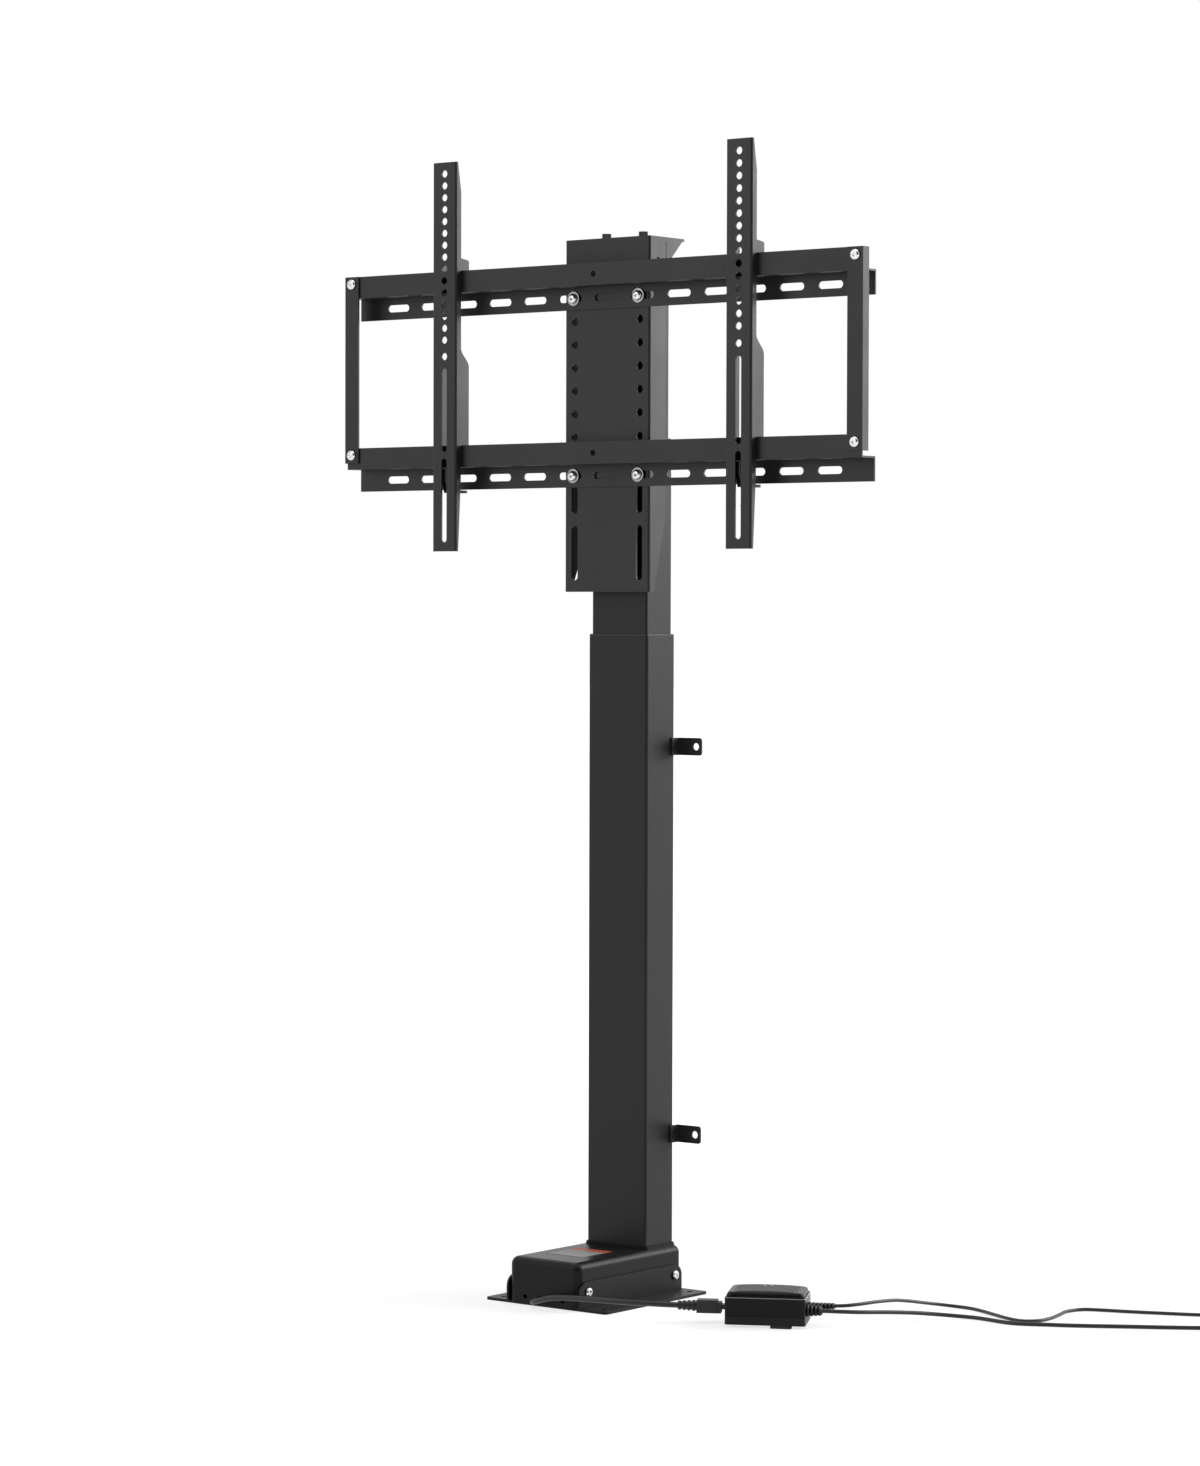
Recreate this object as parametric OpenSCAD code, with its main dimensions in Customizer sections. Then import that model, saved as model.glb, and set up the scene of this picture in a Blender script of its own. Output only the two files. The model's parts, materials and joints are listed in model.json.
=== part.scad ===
// Motorised lift that raises a flat television out of a cabinet on a three-stage column.
// Millimetres. X runs along the rails, Y from front to back and Z up.
// The origin is on the column's axis, on the floor.

/* [Column] */
// Width of the outer tube, along the rails
tube_w = 80; // [78:1:95]
// Depth of the outer tube, front to back
tube_d = 50; // [46:1:60]
// Wall of the three column tubes
tube_wall = 1.5; // [1.3:0.1:1.6]
// Corner radius of the outer tube
tube_corner = 3; // [2.8:0.1:4]
// Step inwards from one tube's outside to the next tube's outside
stage_step = 2.6; // [2.5:0.1:2.8]
// Height of the outer tube's end above the floor
tube_top = 714; // [640:2:760]
// Height of the collar on the outer and the middle tube
collar_h = 2; // [1.5:0.5:2.5]
// Length of the guide sleeve under each collar
sleeve_l = 40; // [20:1:60]
// Height of the glide band at the foot of each moving tube
glide_h = 30; // [15:1:45]
// Stroke of each moving stage
stroke = 350; // [260:5:350]
// How far each stage stands out of the one below it in the pose shown
lift = 212; // [120:2:240]
// How far each stage stands out in the lowest pose
low_stop = 3; // [3:0.5:8]

/* [Base] */
// Width of the base plate
base_w = 164; // [140:1:220]
// Length of the base plate, front to back
base_d = 180; // [180:1:240]
// Thickness of the base plate
base_t = 3; // [2.5:0.5:5]
// Distance from the column's axis forward to the base plate's front edge
base_front = 148; // [140:1:148]
// Corner radius of the base plate
base_corner = 4; // [2:1:10]
// Diameter of the base plate's screw holes
base_hole_d = 6.5; // [5:0.5:8]
// Distance from a base screw hole's axis to the plate's edges
base_hole_inset = 14; // [11:1:15]
// Width of the motor cover
cover_w = 95; // [93:1:105]
// Distance from the column's axis forward to the cover's front face
cover_front = 151.5; // [150.5:0.5:160]
// Distance from the column's axis back to the cover's rear face
cover_back = 31.5; // [30:0.5:32]
// Height of the cover's top above the floor
cover_top = 51; // [49.5:0.5:58]
// Sheet thickness of the cover
cover_wall = 1.5; // [1:0.1:1.6]
// Radius of the cover's rounded edges
cover_r = 8.5; // [6:0.5:10]
// Height of the lip that the cover turns up around the tube
cover_lip = 3; // [1:0.5:5]
// Thickness of the two side plates
side_t = 2.5; // [2:0.1:3]
// Height of the side plates' top edge above the floor
side_top = 30.5; // [30:0.5:36]
// Radius of the side plates' top corners
side_r = 12; // [6:1:14]
// Distance from the column's axis back to the side plates' rear end
side_back = 27.5; // [27:0.5:32]
// Height of the cover screws above the floor
side_screw_z = 19.5; // [16:0.5:22]
// Distance from the column's axis forward to the front cover screws
side_screw_front = 137; // [120:1:138]
// Distance from the column's axis back to the rear cover screws
side_screw_back = 15; // [13:1:18]

/* [Wall tabs] */
// Height of the lower pair of wall tabs above the floor
tab_low_z = 172; // [140:2:240]
// Height of the upper pair of wall tabs above the floor
tab_high_z = 594; // [520:2:610]
// Height of a wall tab
tab_h = 19; // [14:1:26]
// Thickness of a wall tab
tab_t = 2; // [1.5:0.5:3]
// How far a wall tab stands out sideways from the tube
tab_reach = 32.5; // [24:0.5:45]
// Distance from the tube's rear face back to the wall that the tabs rest on
tab_gap = 7; // [6:0.5:15]
// Diameter of the hole in a wall tab
tab_hole_d = 8; // [5:0.5:9]
// Distance from a wall tab's hole to its outer end
tab_hole_inset = 7.5; // [6.5:0.5:9]

/* [Drive] */
// Outside diameter of both spindles
spindle_d = 14; // [13:0.5:15]
// Diameter of the spindles' smooth journals
journal_d = 12; // [10:0.5:12]
// Module of the two equal stage gears
gear_module = 2; // [1.9:0.05:2.05]
// Teeth on each stage gear
gear_teeth = 16; // [15:1:16]
// Face width of the stage gears
gear_face = 8.5; // [6:0.5:10]
// Module of the worm and its wheel
worm_module = 1.25; // [1.1:0.05:1.3]
// Teeth on the worm wheel
wheel_teeth = 24; // [22:1:24]
// Face width of the worm wheel
wheel_face = 9; // [7:0.5:10]
// Pitch diameter of the worm
worm_pitch_d = 11; // [10:0.5:12]
// Height of the worm's axis above the floor
worm_z = 26; // [25.5:0.25:26.5]
// Diameter of the motor
motor_d = 40; // [34:1:41]
// Length of the motor's can without its end cap
motor_l = 78; // [50:1:80]

/* [Bracket] */
// Distance from each column of holes to the bracket's side
row_edge = 13.5; // [13:0.5:20]
// Height of the mounting bracket
bracket_h = 380.5; // [370:0.5:400]
// Sheet thickness of the mounting bracket
bracket_t = 2.5; // [2:0.1:3]
// Distance from the column's axis forward to the bracket's front face
bracket_front = 45; // [42:0.5:55]
// Depth of the bracket's side flanges
flange_depth = 28.5; // [20:0.5:30]
// Depth of the side flanges at their lower end
flange_foot = 9; // [5:0.5:12]
// Height over which the right flange tapers to its lower end
flange_taper = 79; // [50:1:100]
// Height over which the left flange tapers to its lower end
left_taper = 45; // [30:1:100]
// How far the bracket's top wings reach back behind the flanges
wing_reach = 31.5; // [20:0.5:34]
// Distance from the bracket's top edge down to the first row of holes
row_top = 63.5; // [55:0.5:70]
// Pitch of the bracket's rows of holes
row_pitch = 25; // [22:1:26]
// Rows of holes in the bracket
row_count = 7; // [4:1:7]
// Distance between the two columns of holes
row_span = 88; // [84:1:92]
// Diameter of the bracket's holes
row_hole_d = 9; // [7:0.5:9]
// Length of the four slots below the holes
row_slot_l = 59; // [50:1:60]
// Distance from the bracket's lower edge up to the lower slots' centres
low_slot_z = 42; // [36:1:44]
// Distance from the lower slots' centres up to the upper slots' centres
slot_rise = 72; // [68:1:76]

/* [Rails] */
// Length of the two rails
rail_l = 699; // [640:1:760]
// Sheet thickness of the rails
rail_t = 2; // [1.5:0.1:2.5]
// Height of a rail's front face
rail_face_h = 24; // [20:0.5:26]
// Height of a rail's slotted flange under its web
rail_flange_h = 24; // [22:0.5:26]
// Distance from a rail's back to the front of its face
rail_depth = 24.7; // [24:0.1:30]
// Distance from the upper rail down to the lower one
rail_drop = 191.5; // [180:0.5:196]
// Distance from a rail's web down to the middle of its slots
rail_slot_drop = 11.5; // [11:0.25:12.5]
// Length of a rail slot
rail_slot_l = 31; // [26:1:34]
// Width of a rail slot
rail_slot_w = 8; // [7:0.5:10]
// Pitch of the rail slots
rail_slot_pitch = 49; // [46:0.5:50]
// Slots in each rail
rail_slots = 13; // [9:2:13]
// Diameter of the small hole in the middle of a rail's face
rail_pin_d = 6.5; // [4:0.5:7]
// Width of the end bars' faces
bar_w = 19.5; // [18:0.5:24]
// Depth of the end bars' outer flanges
bar_depth = 11; // [8:0.5:14]

/* [Arms] */
// Distance between the two television arms in the pose shown
arm_spacing = 400; // [200:10:500]
// Width of an arm
arm_w = 33.4; // [30:0.2:36]
// Sheet thickness of an arm
arm_t = 2; // [1.5:0.1:2.5]
// Distance from the upper rail's top edge up to an arm's top end
arm_above = 118.6; // [110:0.2:130]
// Distance from the lower rail's lower edge down to an arm's lower end
arm_below = 92.5; // [85:0.5:100]
// Depth of an arm's flanges between the hooks
arm_depth = 9; // [8.9:0.1:10]
// Depth of an arm's hooks
hook_depth = 22.5; // [18:0.5:24]
// Diameter of an arm's screw holes
arm_hole_d = 8; // [6:0.5:8.5]
// Pitch of an arm's screw holes
arm_hole_pitch = 13; // [11:0.5:13.5]
// Screw holes in the upper row of an arm
arm_holes = 15; // [8:1:15]
// Width of an arm's slots
arm_slot_w = 7.4; // [6:0.2:8]
// Length of an arm's two slots
arm_slot_l = 92; // [70:1:94]

/* [Control box] */
// Length of the control box
box_l = 84; // [78:1:100]
// Depth of the control box
box_d = 55; // [50:1:70]
// Height of the box's lower tray
tray_h = 9; // [7:0.5:9.5]
// Height of the box's vertical sides, tray and lid together
box_h = 28; // [26:0.5:34]
// Height of the raised crown on the lid
crown_h = 7.5; // [5:0.5:10]
// Wall of the control box
box_wall = 1.8; // [1.4:0.1:2]
// Height of the box's rubber feet
foot_h = 3; // [2:0.5:5]
// Diameter of the motor lead
lead_d = 6; // [5:0.5:6.5]
// Diameter of the mains cord
power_d = 4.3; // [4.2:0.1:4.6]
// Diameter of the sensor cord
sensor_d = 3.8; // [3.6:0.1:4]

/* [Hidden] */
$fn = 48;
e = 0.01;
cut = 1;

// How far the inner tube stands out beyond two lifts
head_rise = 1.5;

// Clearances
run_gap = 0.25;
fit_gap = 0.05;
slide_gap = 0.05;
seat_gap = 0.1;
part_gap = 0.3;
hole_gap = 0.3;
sheet_bend = 2.5;
fold_gap = 0.8;
screw_pass_r = 2.6;

// The three tubes, counted from the outside
function stage_w(k) = tube_w - 2 * k * stage_step;
function stage_d(k) = tube_d - 2 * k * stage_step;
function stage_r(k) = tube_corner - 0.6 * k;
function bore_w(k) = stage_w(k) - 2 * tube_wall;
function bore_d(k) = stage_d(k) - 2 * tube_wall;
function bore_r(k) = max(0.4, stage_r(k) - tube_wall);
glide_t = stage_step - tube_wall - run_gap;
travel_down = lift - low_stop;
middle_top = tube_top + lift;
inner_top = tube_top + 2 * lift + head_rise;

// The two spindles stand side by side, one gear's pitch diameter apart
spindle_gap = gear_module * gear_teeth;
spindle_r = spindle_d / 2;
journal_r = journal_d / 2;
low_x = -spindle_gap / 2;
high_x = spindle_gap / 2;
key_w = 4;
key_depth = 2;
nut_r = spindle_r + 4;
nut_lip = 3;
nut_lip_h = 3;

// Gearbox in the foot of the column
housing_floor = 3;
housing_top = 47;
housing_w = bore_w(0) - 2 * 0.6;
housing_d = bore_d(0) - 2 * 0.5;
bearing_h = 7;
bearing_r = journal_r + 7;
bearing_z = base_t + housing_floor;
upper_bearing_z = housing_top - 4 - bearing_h;
wheel_pitch_r = worm_module * wheel_teeth / 2;
wheel_tip_r = wheel_pitch_r + worm_module;
wheel_hub_r = journal_r + 4;
worm_r = worm_pitch_d / 2;
worm_tip_r = worm_r + worm_module;
worm_root_r = worm_r - 1.2 * worm_module;
worm_lead = PI * worm_module;
worm_x = low_x + wheel_pitch_r + worm_r;
worm_l = 26;
worm_shaft_r = 4;
bush_l = 5;
bush_r = worm_shaft_r + 2.5;
housing_cut = 1.2;
neck_w = 26;
neck_top = 42;
neck_front = 46;
flange_t = 4;
flange_r = 19;
flange_screws = [[15.8, 4.5], [-15.8, -4.5]];
motor_front = neck_front + seat_gap;
motor_shaft_in = 10;
motor_boss_r = 8;
end_cap_l = 8;
post_r = 2.5;
gearbox_screw_r = 2.5;
gearbox_screws_x = [-housing_w / 2 + 5.5, housing_w / 2 - 6];
gearbox_screws_y = housing_d / 2 - 4.5;

// The middle stage's foot: nut block, gear room and gear plate
foot_low = housing_top + 7;
block_h = 18.7;
gear_room = gear_face + 0.6;
gear_plate_t = 5;
foot_stack = block_h + gear_room + gear_plate_t;
foot_z = foot_low + travel_down;
gear_z = foot_z + block_h + 0.3;
gear_plate_z = foot_z + block_h + gear_room;
gear_r = gear_module * gear_teeth / 2;
gear_tip_r = gear_r + 0.95 * gear_module;
posts_x = gear_r + 15.3;
posts_y = 15.2;
inner_rise = foot_stack + 5.3;
inner_foot_z = foot_z + inner_rise + travel_down;
inner_block_h = 16;
low_spindle_top = foot_low + stroke + foot_stack + 4;
high_spindle_foot = foot_z + block_h - 10;
high_spindle_top = foot_z + inner_rise + stroke + inner_block_h + 8;
cap_h = 14;

// Motor cover: two vent holes in front, the skirt in front of the base plate, the lip's steps
vent_x = [-24.5, 26.5];
vent_z = 9.5;
vent_r = 2.5;
skirt_foot = 1.2;
lip_steps = 3;
lip_sink = 1.4;

// Bracket, rails and arms
bracket_top = inner_top + bracket_t;
bracket_w = row_span + 2 * row_edge;
bracket_foot = bracket_top - bracket_h;
bracket_back = -bracket_front + flange_depth;
bracket_screws_x = 25;
bracket_screw_r = 3;
bracket_screws_y = bore_d(2) / 2 - seat_gap - bracket_screw_r - 1.2;
row_z = bracket_top - row_top;
side_hole_y = -30.5;
side_hole_drop = 24;
side_hole_r = 2;
upper_rail_z = row_z + rail_slot_drop;
lower_rail_z = upper_rail_z - rail_drop;
rail_back = -bracket_front;
rail_front = rail_back - rail_depth;
rail_flange_front = rail_back - rail_t;
bar_z = lower_rail_z + 7;
bar_top = upper_rail_z + rail_face_h;
bar_screw_drop = 8.5;
bar_screw_rise = 9;
bar_screw_x = rail_l / 2 + rail_t - bar_w / 2;
rail_bolt_r = 3;
washer_r = 7.9;
washer_t = 1.5;
nut_flats_r = 5.8;
nut_h = 5;
arm_standoff = 9.8;
arm_front = rail_front - arm_standoff;
arm_top = upper_rail_z + rail_face_h + arm_above;
arm_foot = lower_rail_z - arm_below;
arm_first_hole = arm_top - 12.6;
arm_last_hole = arm_first_hole - (arm_holes - 1) * arm_hole_pitch - 18;
arm_slot_upper = arm_last_hole - 13 - arm_slot_l / 2;
arm_slot_lower = arm_foot + 10 + arm_slot_l / 2;
arm_tip_depth = 3.5;
arm_tip_l = 33;
arm_foot_depth = 4.5;
arm_foot_l = 78.5;
hook_rise = 12;
swell_rise = 86.5;
swell_l = 20;

// Lock of an arm: catch on a cross pin, its finger under the lower rail
lock_r = 2;
lock_y = arm_front + arm_t + 0.6 + lock_r;
lock_z = lower_rail_z - 12;
catch_w = 10;
catch_top = 10;
catch_foot = -16;
catch_back = 3.4;
finger_t = 3;
finger_l = rail_back - 0.7 - lock_y;
pull_r = 0.6;
pull_x = 1.5;
pull_y = 2.3;
pull_l = 19.5;

// Control box, at an angle to the rails on the floor beside the base
box_x = 248;
box_y = -87.5;
box_angle = 29;
box_r = 3;
box_foot_l = 22;
box_foot_w = 10;
box_foot_x = 26;
front_foot_x = 16.6;
lid_arch_r = 364;
lid_arch_rise = 2.2;
board_l = 70;
board_d = 44;
board_rise = 3;
board_t = 1.6;
socket_z = 17.5;
connector_l = 32;
connector_w = 13.6;
connector_gap = 6.3;
connector_nose_h = 5;
connector_step = 4;
connector_drop = 2;
lead_relief_l = 20;
relief_z = 17;
relief_neck_r = 4;
relief_step = 0.6;
power_relief_y = -9.5;
power_relief_l = 16;
sensor_relief_y = 10.5;
sensor_relief_l = 27;
sensor_relief_rise = 5;

// Cord routes, from the exit to the coil, as points on the centre line
grommet = [-8, -cover_front - 2.5, 7];
lead_route = [[-7, -159.5, 6.6], [-3.5, -164.5, 7.5], [3, -167.5, 9.2], [13, -169, 12], [23, -169.5, 14.6],
    [35.5, -169, 16.2], [48.5, -168, 17.2], [61, -166.5, 17.7], [74, -165, 18], [87, -163, 18],
    [100, -160.3, 18.1], [113, -156.8, 18.1], [126, -152, 18], [139, -146.5, 17.9], [152, -140.3, 17.6]];
power_route = [[319, -57, 16.5], [331, -40, 15], [340, -17, 13], [348, 4, 11], [357, 26, 8.5], [367, 47, 5.5],
    [381, 63, 3.2], [400, 71, 2.3], [418, 70, 2.2], [436, 67, 2.2], [452, 67, 2.2], [467, 73, 2.2], [482, 81, 2.2],
    [498, 89, 2.2], [514, 98, 2.2], [530, 108, 2.2], [558, 126, 2.2], [589, 145, 2.2], [620, 166, 2.2]];
sensor_route = [[313, -38, 19.8], [319.5, -22, 20], [323, -4, 20], [324.5, 16, 19], [325, 38, 17], [327, 60, 13.5],
    [328, 81, 9.5], [332, 100, 6], [340, 113, 3.5], [352, 120, 2.2], [367, 119, 2], [385, 112, 2], [407, 101, 2],
    [430, 90, 2], [449, 86, 2], [462, 97, 2], [464, 119, 2], [459, 145, 2], [454, 168, 2], [461, 189, 2],
    [479, 198, 2], [508, 208, 2], [540, 221, 2], [576, 237, 2]];

// Coils just beyond the right edge of the view, wound counterclockwise and piled in two layers
power_coil_at = [644, 223];
power_heading = 33;
power_loops = 6;
sensor_coil_at = [606, 284];
sensor_heading = 22;
sensor_loops = 5;
coil_width = 11.5;
coil_space = 0.9;
coil_rings = 24;
tie_t = 0.8;
tie_w = 8;
cord_sides = 8;
coil_sides = 6;
plug_relief_l = 31;
plug_l = 34;
plug_w = 26;
blade_l = 16;
blade_gap = 12.7;
eye_relief_l = 20;
eye_l = 28;
eye_w = 16;

// Colours
black_paint = [0.13, 0.13, 0.14];
black_gloss = [0.1, 0.1, 0.11];
chrome = [0.8, 0.8, 0.82];
steel = [0.6, 0.61, 0.63];
zinc = [0.68, 0.69, 0.7];
brass = [0.78, 0.62, 0.3];
nylon = [0.85, 0.83, 0.78];
cast_grey = [0.45, 0.46, 0.48];
rubber = [0.08, 0.08, 0.08];
board_green = [0.1, 0.35, 0.2];

// Shapes used more than once

module rounded_rect(w, d, r) {
    square([w - 2 * r, d], center = true);
    square([w, d - 2 * r], center = true);
    for (x = [-1, 1], y = [-1, 1]) translate([x * (w / 2 - r), y * (d / 2 - r)]) circle(r);
}

module slot_shape(l, w) {
    square([l - w, w], center = true);
    for (x = [-1, 1]) translate([x * (l - w) / 2, 0]) circle(w / 2);
}

module slab(x0, x1, y0, y1, z0, z1) {
    translate([x0, y0, z0]) cube([x1 - x0, y1 - y0, z1 - z0]);
}

module ring(r_out, r_in, h) {
    difference() {
        cylinder(r = r_out, h = h);
        translate([0, 0, -cut]) cylinder(r = r_in, h = h + 2 * cut);
    }
}

// Block with a flat bottom and every other edge rounded to r
module soft_box(w, d, h, r) {
    linear_extrude(h - r) rounded_rect(w, d, r);
    translate([0, 0, h - r]) {
        slab(-w / 2 + r, w / 2 - r, -d / 2 + r, d / 2 - r, -e, r);
        for (x = [-1, 1]) translate([x * (w / 2 - r), -d / 2 + r, 0])
            rotate([-90, 0, 0]) cylinder(r = r, h = d - 2 * r);
        for (y = [-1, 1]) translate([-w / 2 + r, y * (d / 2 - r), 0])
            rotate([0, 90, 0]) cylinder(r = r, h = w - 2 * r);
        for (x = [-1, 1], y = [-1, 1]) translate([x * (w / 2 - r), y * (d / 2 - r), 0]) sphere(r);
    }
}

// Sheet channel seen from above: front face at y 0, sides running back, rounded front corners
module channel_shape(w, depth, t, r) {
    difference() {
        union() {
            translate([-w / 2, r]) square([w, depth - r]);
            translate([-w / 2 + r, 0]) square([w - 2 * r, r + e]);
            for (x = [-1, 1]) translate([x * (w / 2 - r), r]) circle(r);
        }
        translate([-w / 2 + t, t]) square([w - 2 * t, depth]);
    }
}

// Domed screw head on z 0 with a cross recess, and its shank below
module pan_screw(head_r, head_h, shank_r, shank_l) {
    difference() {
        rotate_extrude() polygon([[0, 0], [head_r, 0], [head_r, 0.4 * head_h],
            [0.85 * head_r, 0.78 * head_h], [0.5 * head_r, head_h], [0, head_h]]);
        for (a = [0, 90]) rotate(a) translate([-0.45 * head_r, -0.1 * head_r, 0.5 * head_h])
            cube([0.9 * head_r, 0.2 * head_r, head_h]);
    }
    translate([0, 0, -shank_l]) cylinder(r = shank_r, h = shank_l + e);
}

// Socket head on z 0, and its shank below
module cap_screw(head_r, head_h, shank_r, shank_l) {
    difference() {
        cylinder(r = head_r, h = head_h);
        translate([0, 0, head_h * 0.45]) cylinder(r = head_r * 0.55, h = head_h, $fn = 6);
    }
    translate([0, 0, -shank_l]) cylinder(r = shank_r, h = shank_l + e);
}

// Solid ribbed strain relief along +X; its cord starts at its end face
module ribbed_relief(l, r0, r1, ribs) {
    pitch = l / ribs;
    rotate([0, 90, 0]) for (i = [0:ribs - 1]) translate([0, 0, i * pitch]) {
        radius = r0 + (r1 - r0) * i / (ribs - 1);
        cylinder(r = radius, h = pitch * 0.6);
        cylinder(r = 0.82 * radius, h = pitch + (i < ribs - 1 ? e : 0));
    }
}

module at_box() {
    translate([box_x, box_y, 0]) rotate(box_angle) children();
}

// A point of the control box's own frame in the part's frame
function from_box(p) = [box_x + p[0] * cos(box_angle) - p[1] * sin(box_angle),
    box_y + p[0] * sin(box_angle) + p[1] * cos(box_angle), p[2]];

// Involute gear outline

function involute(a) = tan(a) * 180 / PI - a;
function flank_angle(r, pitch_r, base_r, half) =
    half - (involute(acos(min(1, base_r / r))) - involute(acos(base_r / pitch_r)));
function gear_outline(m, z, tip_r, root_r, play) =
    let (pitch_r = m * z / 2, base_r = pitch_r * cos(20), low = max(root_r, base_r),
        half = 90 / z - play / pitch_r * 90 / PI,
        radii = [for (i = [0:4]) low + (tip_r - low) * i / 4])
    [for (k = [0:z - 1]) let (a = 360 / z * k) each concat(
        [for (s = [-1]) let (h = flank_angle(low, pitch_r, base_r, half)) root_r * [cos(a - h), sin(a - h)]],
        [for (r = radii) let (h = flank_angle(r, pitch_r, base_r, half)) r * [cos(a - h), sin(a - h)]],
        [for (i = [4:-1:0]) let (r = radii[i], h = flank_angle(r, pitch_r, base_r, half))
            r * [cos(a + h), sin(a + h)]],
        [for (s = [1]) let (h = flank_angle(low, pitch_r, base_r, half)) root_r * [cos(a + h), sin(a + h)]])];

// Tubes swept along a path of points

function unit(v) = v / norm(v);
function sum_to(v, n) = n < 0 ? 0 : v[n] + sum_to(v, n - 1);
function path_length(p) = sum_to([for (i = [0:len(p) - 2]) norm(p[i + 1] - p[i])], len(p) - 2);
function blend_point(p, i, t) =
    let (n = len(p) - 1, a = p[max(0, i - 1)], b = p[i], c = p[min(n, i + 1)], d = p[min(n, i + 2)])
    0.5 * (2 * b + (c - a) * t + (2 * a - 5 * b + 4 * c - d) * t * t + (3 * b - a - 3 * c + d) * t * t * t);
function curve_point(p, u) =
    let (n = len(p) - 1, i = min(n - 1, floor(u))) blend_point(p, i, u - i);
// Points spread evenly enough along the smooth curve through p
function curve_points(p, count) = [for (k = [0:count - 1]) curve_point(p, k * (len(p) - 1) / (count - 1))];
// Direction of a tube at point i of its path, with set directions at both ends
function path_tangent(p, i, first, last) = i == 0 ? first : i == len(p) - 1 ? last : unit(p[i + 1] - p[i - 1]);
function side_of(t) = unit(cross(t, [0, 0, 1]));
function tube_points(p, r, sides, first, last) = [for (i = [0:len(p) - 1])
    let (t = path_tangent(p, i, first, last), s = side_of(t), u = cross(s, t))
    for (k = [0:sides - 1]) let (a = 360 / sides * (k + 0.5)) p[i] + r * (cos(a) * s + sin(a) * u)];
function tube_faces(rings, sides) = concat(
    [[for (k = [sides - 1:-1:0]) k]],
    [for (i = [0:rings - 2], k = [0:sides - 1]) let (a = i * sides + k, b = i * sides + (k + 1) % sides)
        each [[a, b, a + sides], [b, b + sides, a + sides]]],
    [[for (k = [0:sides - 1]) (rings - 1) * sides + k]]);

module swept_tube(p, d, sides, first, last) {
    polyhedron(tube_points(p, d / 2, sides, first, last), tube_faces(len(p), sides), convexity = 10);
}

// Coil of a cord: two layers, spiralling in below and out again above

function coil_pitch(d) = d + coil_space;
function coil_outer(d, loops) = coil_width * d / 2 + coil_pitch(d) * loops / 4;
function climb(t) = t <= -0.25 ? 0 : t >= 0.25 ? 1 : 0.5 - 0.5 * cos(360 * (t + 0.25));
function coil_z(d) = tie_t + d / 2;
function coil_point(at, d, loops, heading, t) =
    let (r = coil_outer(d, loops) - coil_pitch(d) * (t < loops / 2 ? t : loops - t), a = heading - 90 + 360 * t)
    [at[0] + r * cos(a), at[1] + r * sin(a), coil_z(d) + coil_pitch(d) * climb(t - loops / 2)];
function coil_turns(at, d, loops, heading) =
    [for (k = [0:loops * coil_rings]) coil_point(at, d, loops, heading, k / coil_rings)];
function heading_vector(heading) = [cos(heading), sin(heading), 0];
function coil_start(at, d, loops, heading) =
    coil_point(at, d, loops, heading, 0) - d * heading_vector(heading);
function coil_end(at, d, loops, heading) =
    coil_point(at, d, loops, heading, loops) + d * heading_vector(heading);
function coil_path(at, d, loops, heading) = concat([coil_start(at, d, loops, heading)],
    coil_turns(at, d, loops, heading), [coil_end(at, d, loops, heading)]);
function least_gap(p, d) = min([for (i = [0:len(p) - 1]) for (j = [i + 8:1:len(p) - 1]) norm(p[i] - p[j])]) - d;

power_start = coil_start(power_coil_at, power_d, power_loops, power_heading);
power_end = coil_end(power_coil_at, power_d, power_loops, power_heading);
sensor_start = coil_start(sensor_coil_at, sensor_d, sensor_loops, sensor_heading);
sensor_end = coil_end(sensor_coil_at, sensor_d, sensor_loops, sensor_heading);
lead_end = from_box([-box_l / 2 - connector_l - lead_relief_l, 0, socket_z]);
power_exit = from_box([box_l / 2 + power_relief_l, power_relief_y, relief_z]);
sensor_exit = from_box([box_l / 2 + relief_step + sensor_relief_l * cos(sensor_relief_rise), sensor_relief_y,
    relief_z + sensor_relief_l * sin(sensor_relief_rise)]);
power_lead_in = power_start - 3 * power_d * heading_vector(power_heading);
sensor_lead_in = sensor_start - 3 * sensor_d * heading_vector(sensor_heading);
power_turns = coil_path(power_coil_at, power_d, power_loops, power_heading);
sensor_turns = coil_path(sensor_coil_at, sensor_d, sensor_loops, sensor_heading);
lead_points = curve_points(concat([grommet], lead_route, [lead_end]), 19);
power_points = curve_points(concat([power_exit], power_route, [power_lead_in, power_start]), 28);
sensor_points = curve_points(concat([sensor_exit], sensor_route, [sensor_lead_in, sensor_start]), 33);

// Base

module base_plate() {
    color(black_paint) difference() {
        translate([0, base_d / 2 - base_front, 0]) linear_extrude(base_t) difference() {
            rounded_rect(base_w, base_d, base_corner);
            for (x = [-1, 1], y = [-1, 1])
                translate([x * (base_w / 2 - base_hole_inset), y * (base_d / 2 - base_hole_inset)])
                    circle(base_hole_d / 2);
        }
        for (x = gearbox_screws_x, y = [-1, 1]) translate([x, y * gearbox_screws_y, -cut])
            cylinder(r = gearbox_screw_r, h = base_t + 2 * cut);
    }
}

module side_plate_shape() {
    l = cover_front + side_back;
    h = side_top - base_t;
    difference() {
        union() {
            translate([-cover_front, base_t]) square([l, h - side_r]);
            translate([-cover_front + side_r, side_top - side_r - e]) square([l - 2 * side_r, side_r + e]);
            for (y = [-cover_front + side_r, side_back - side_r]) translate([y, side_top - side_r])
                circle(side_r);
        }
        for (y = [-side_screw_front, side_screw_back]) translate([y, side_screw_z]) circle(screw_pass_r);
    }
}

module side_plates() {
    color(black_paint) for (x = [-cover_w / 2 - side_t - seat_gap, cover_w / 2 + seat_gap])
        translate([x, 0, 0]) rotate([90, 0, 90]) linear_extrude(side_t) side_plate_shape();
}

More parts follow.
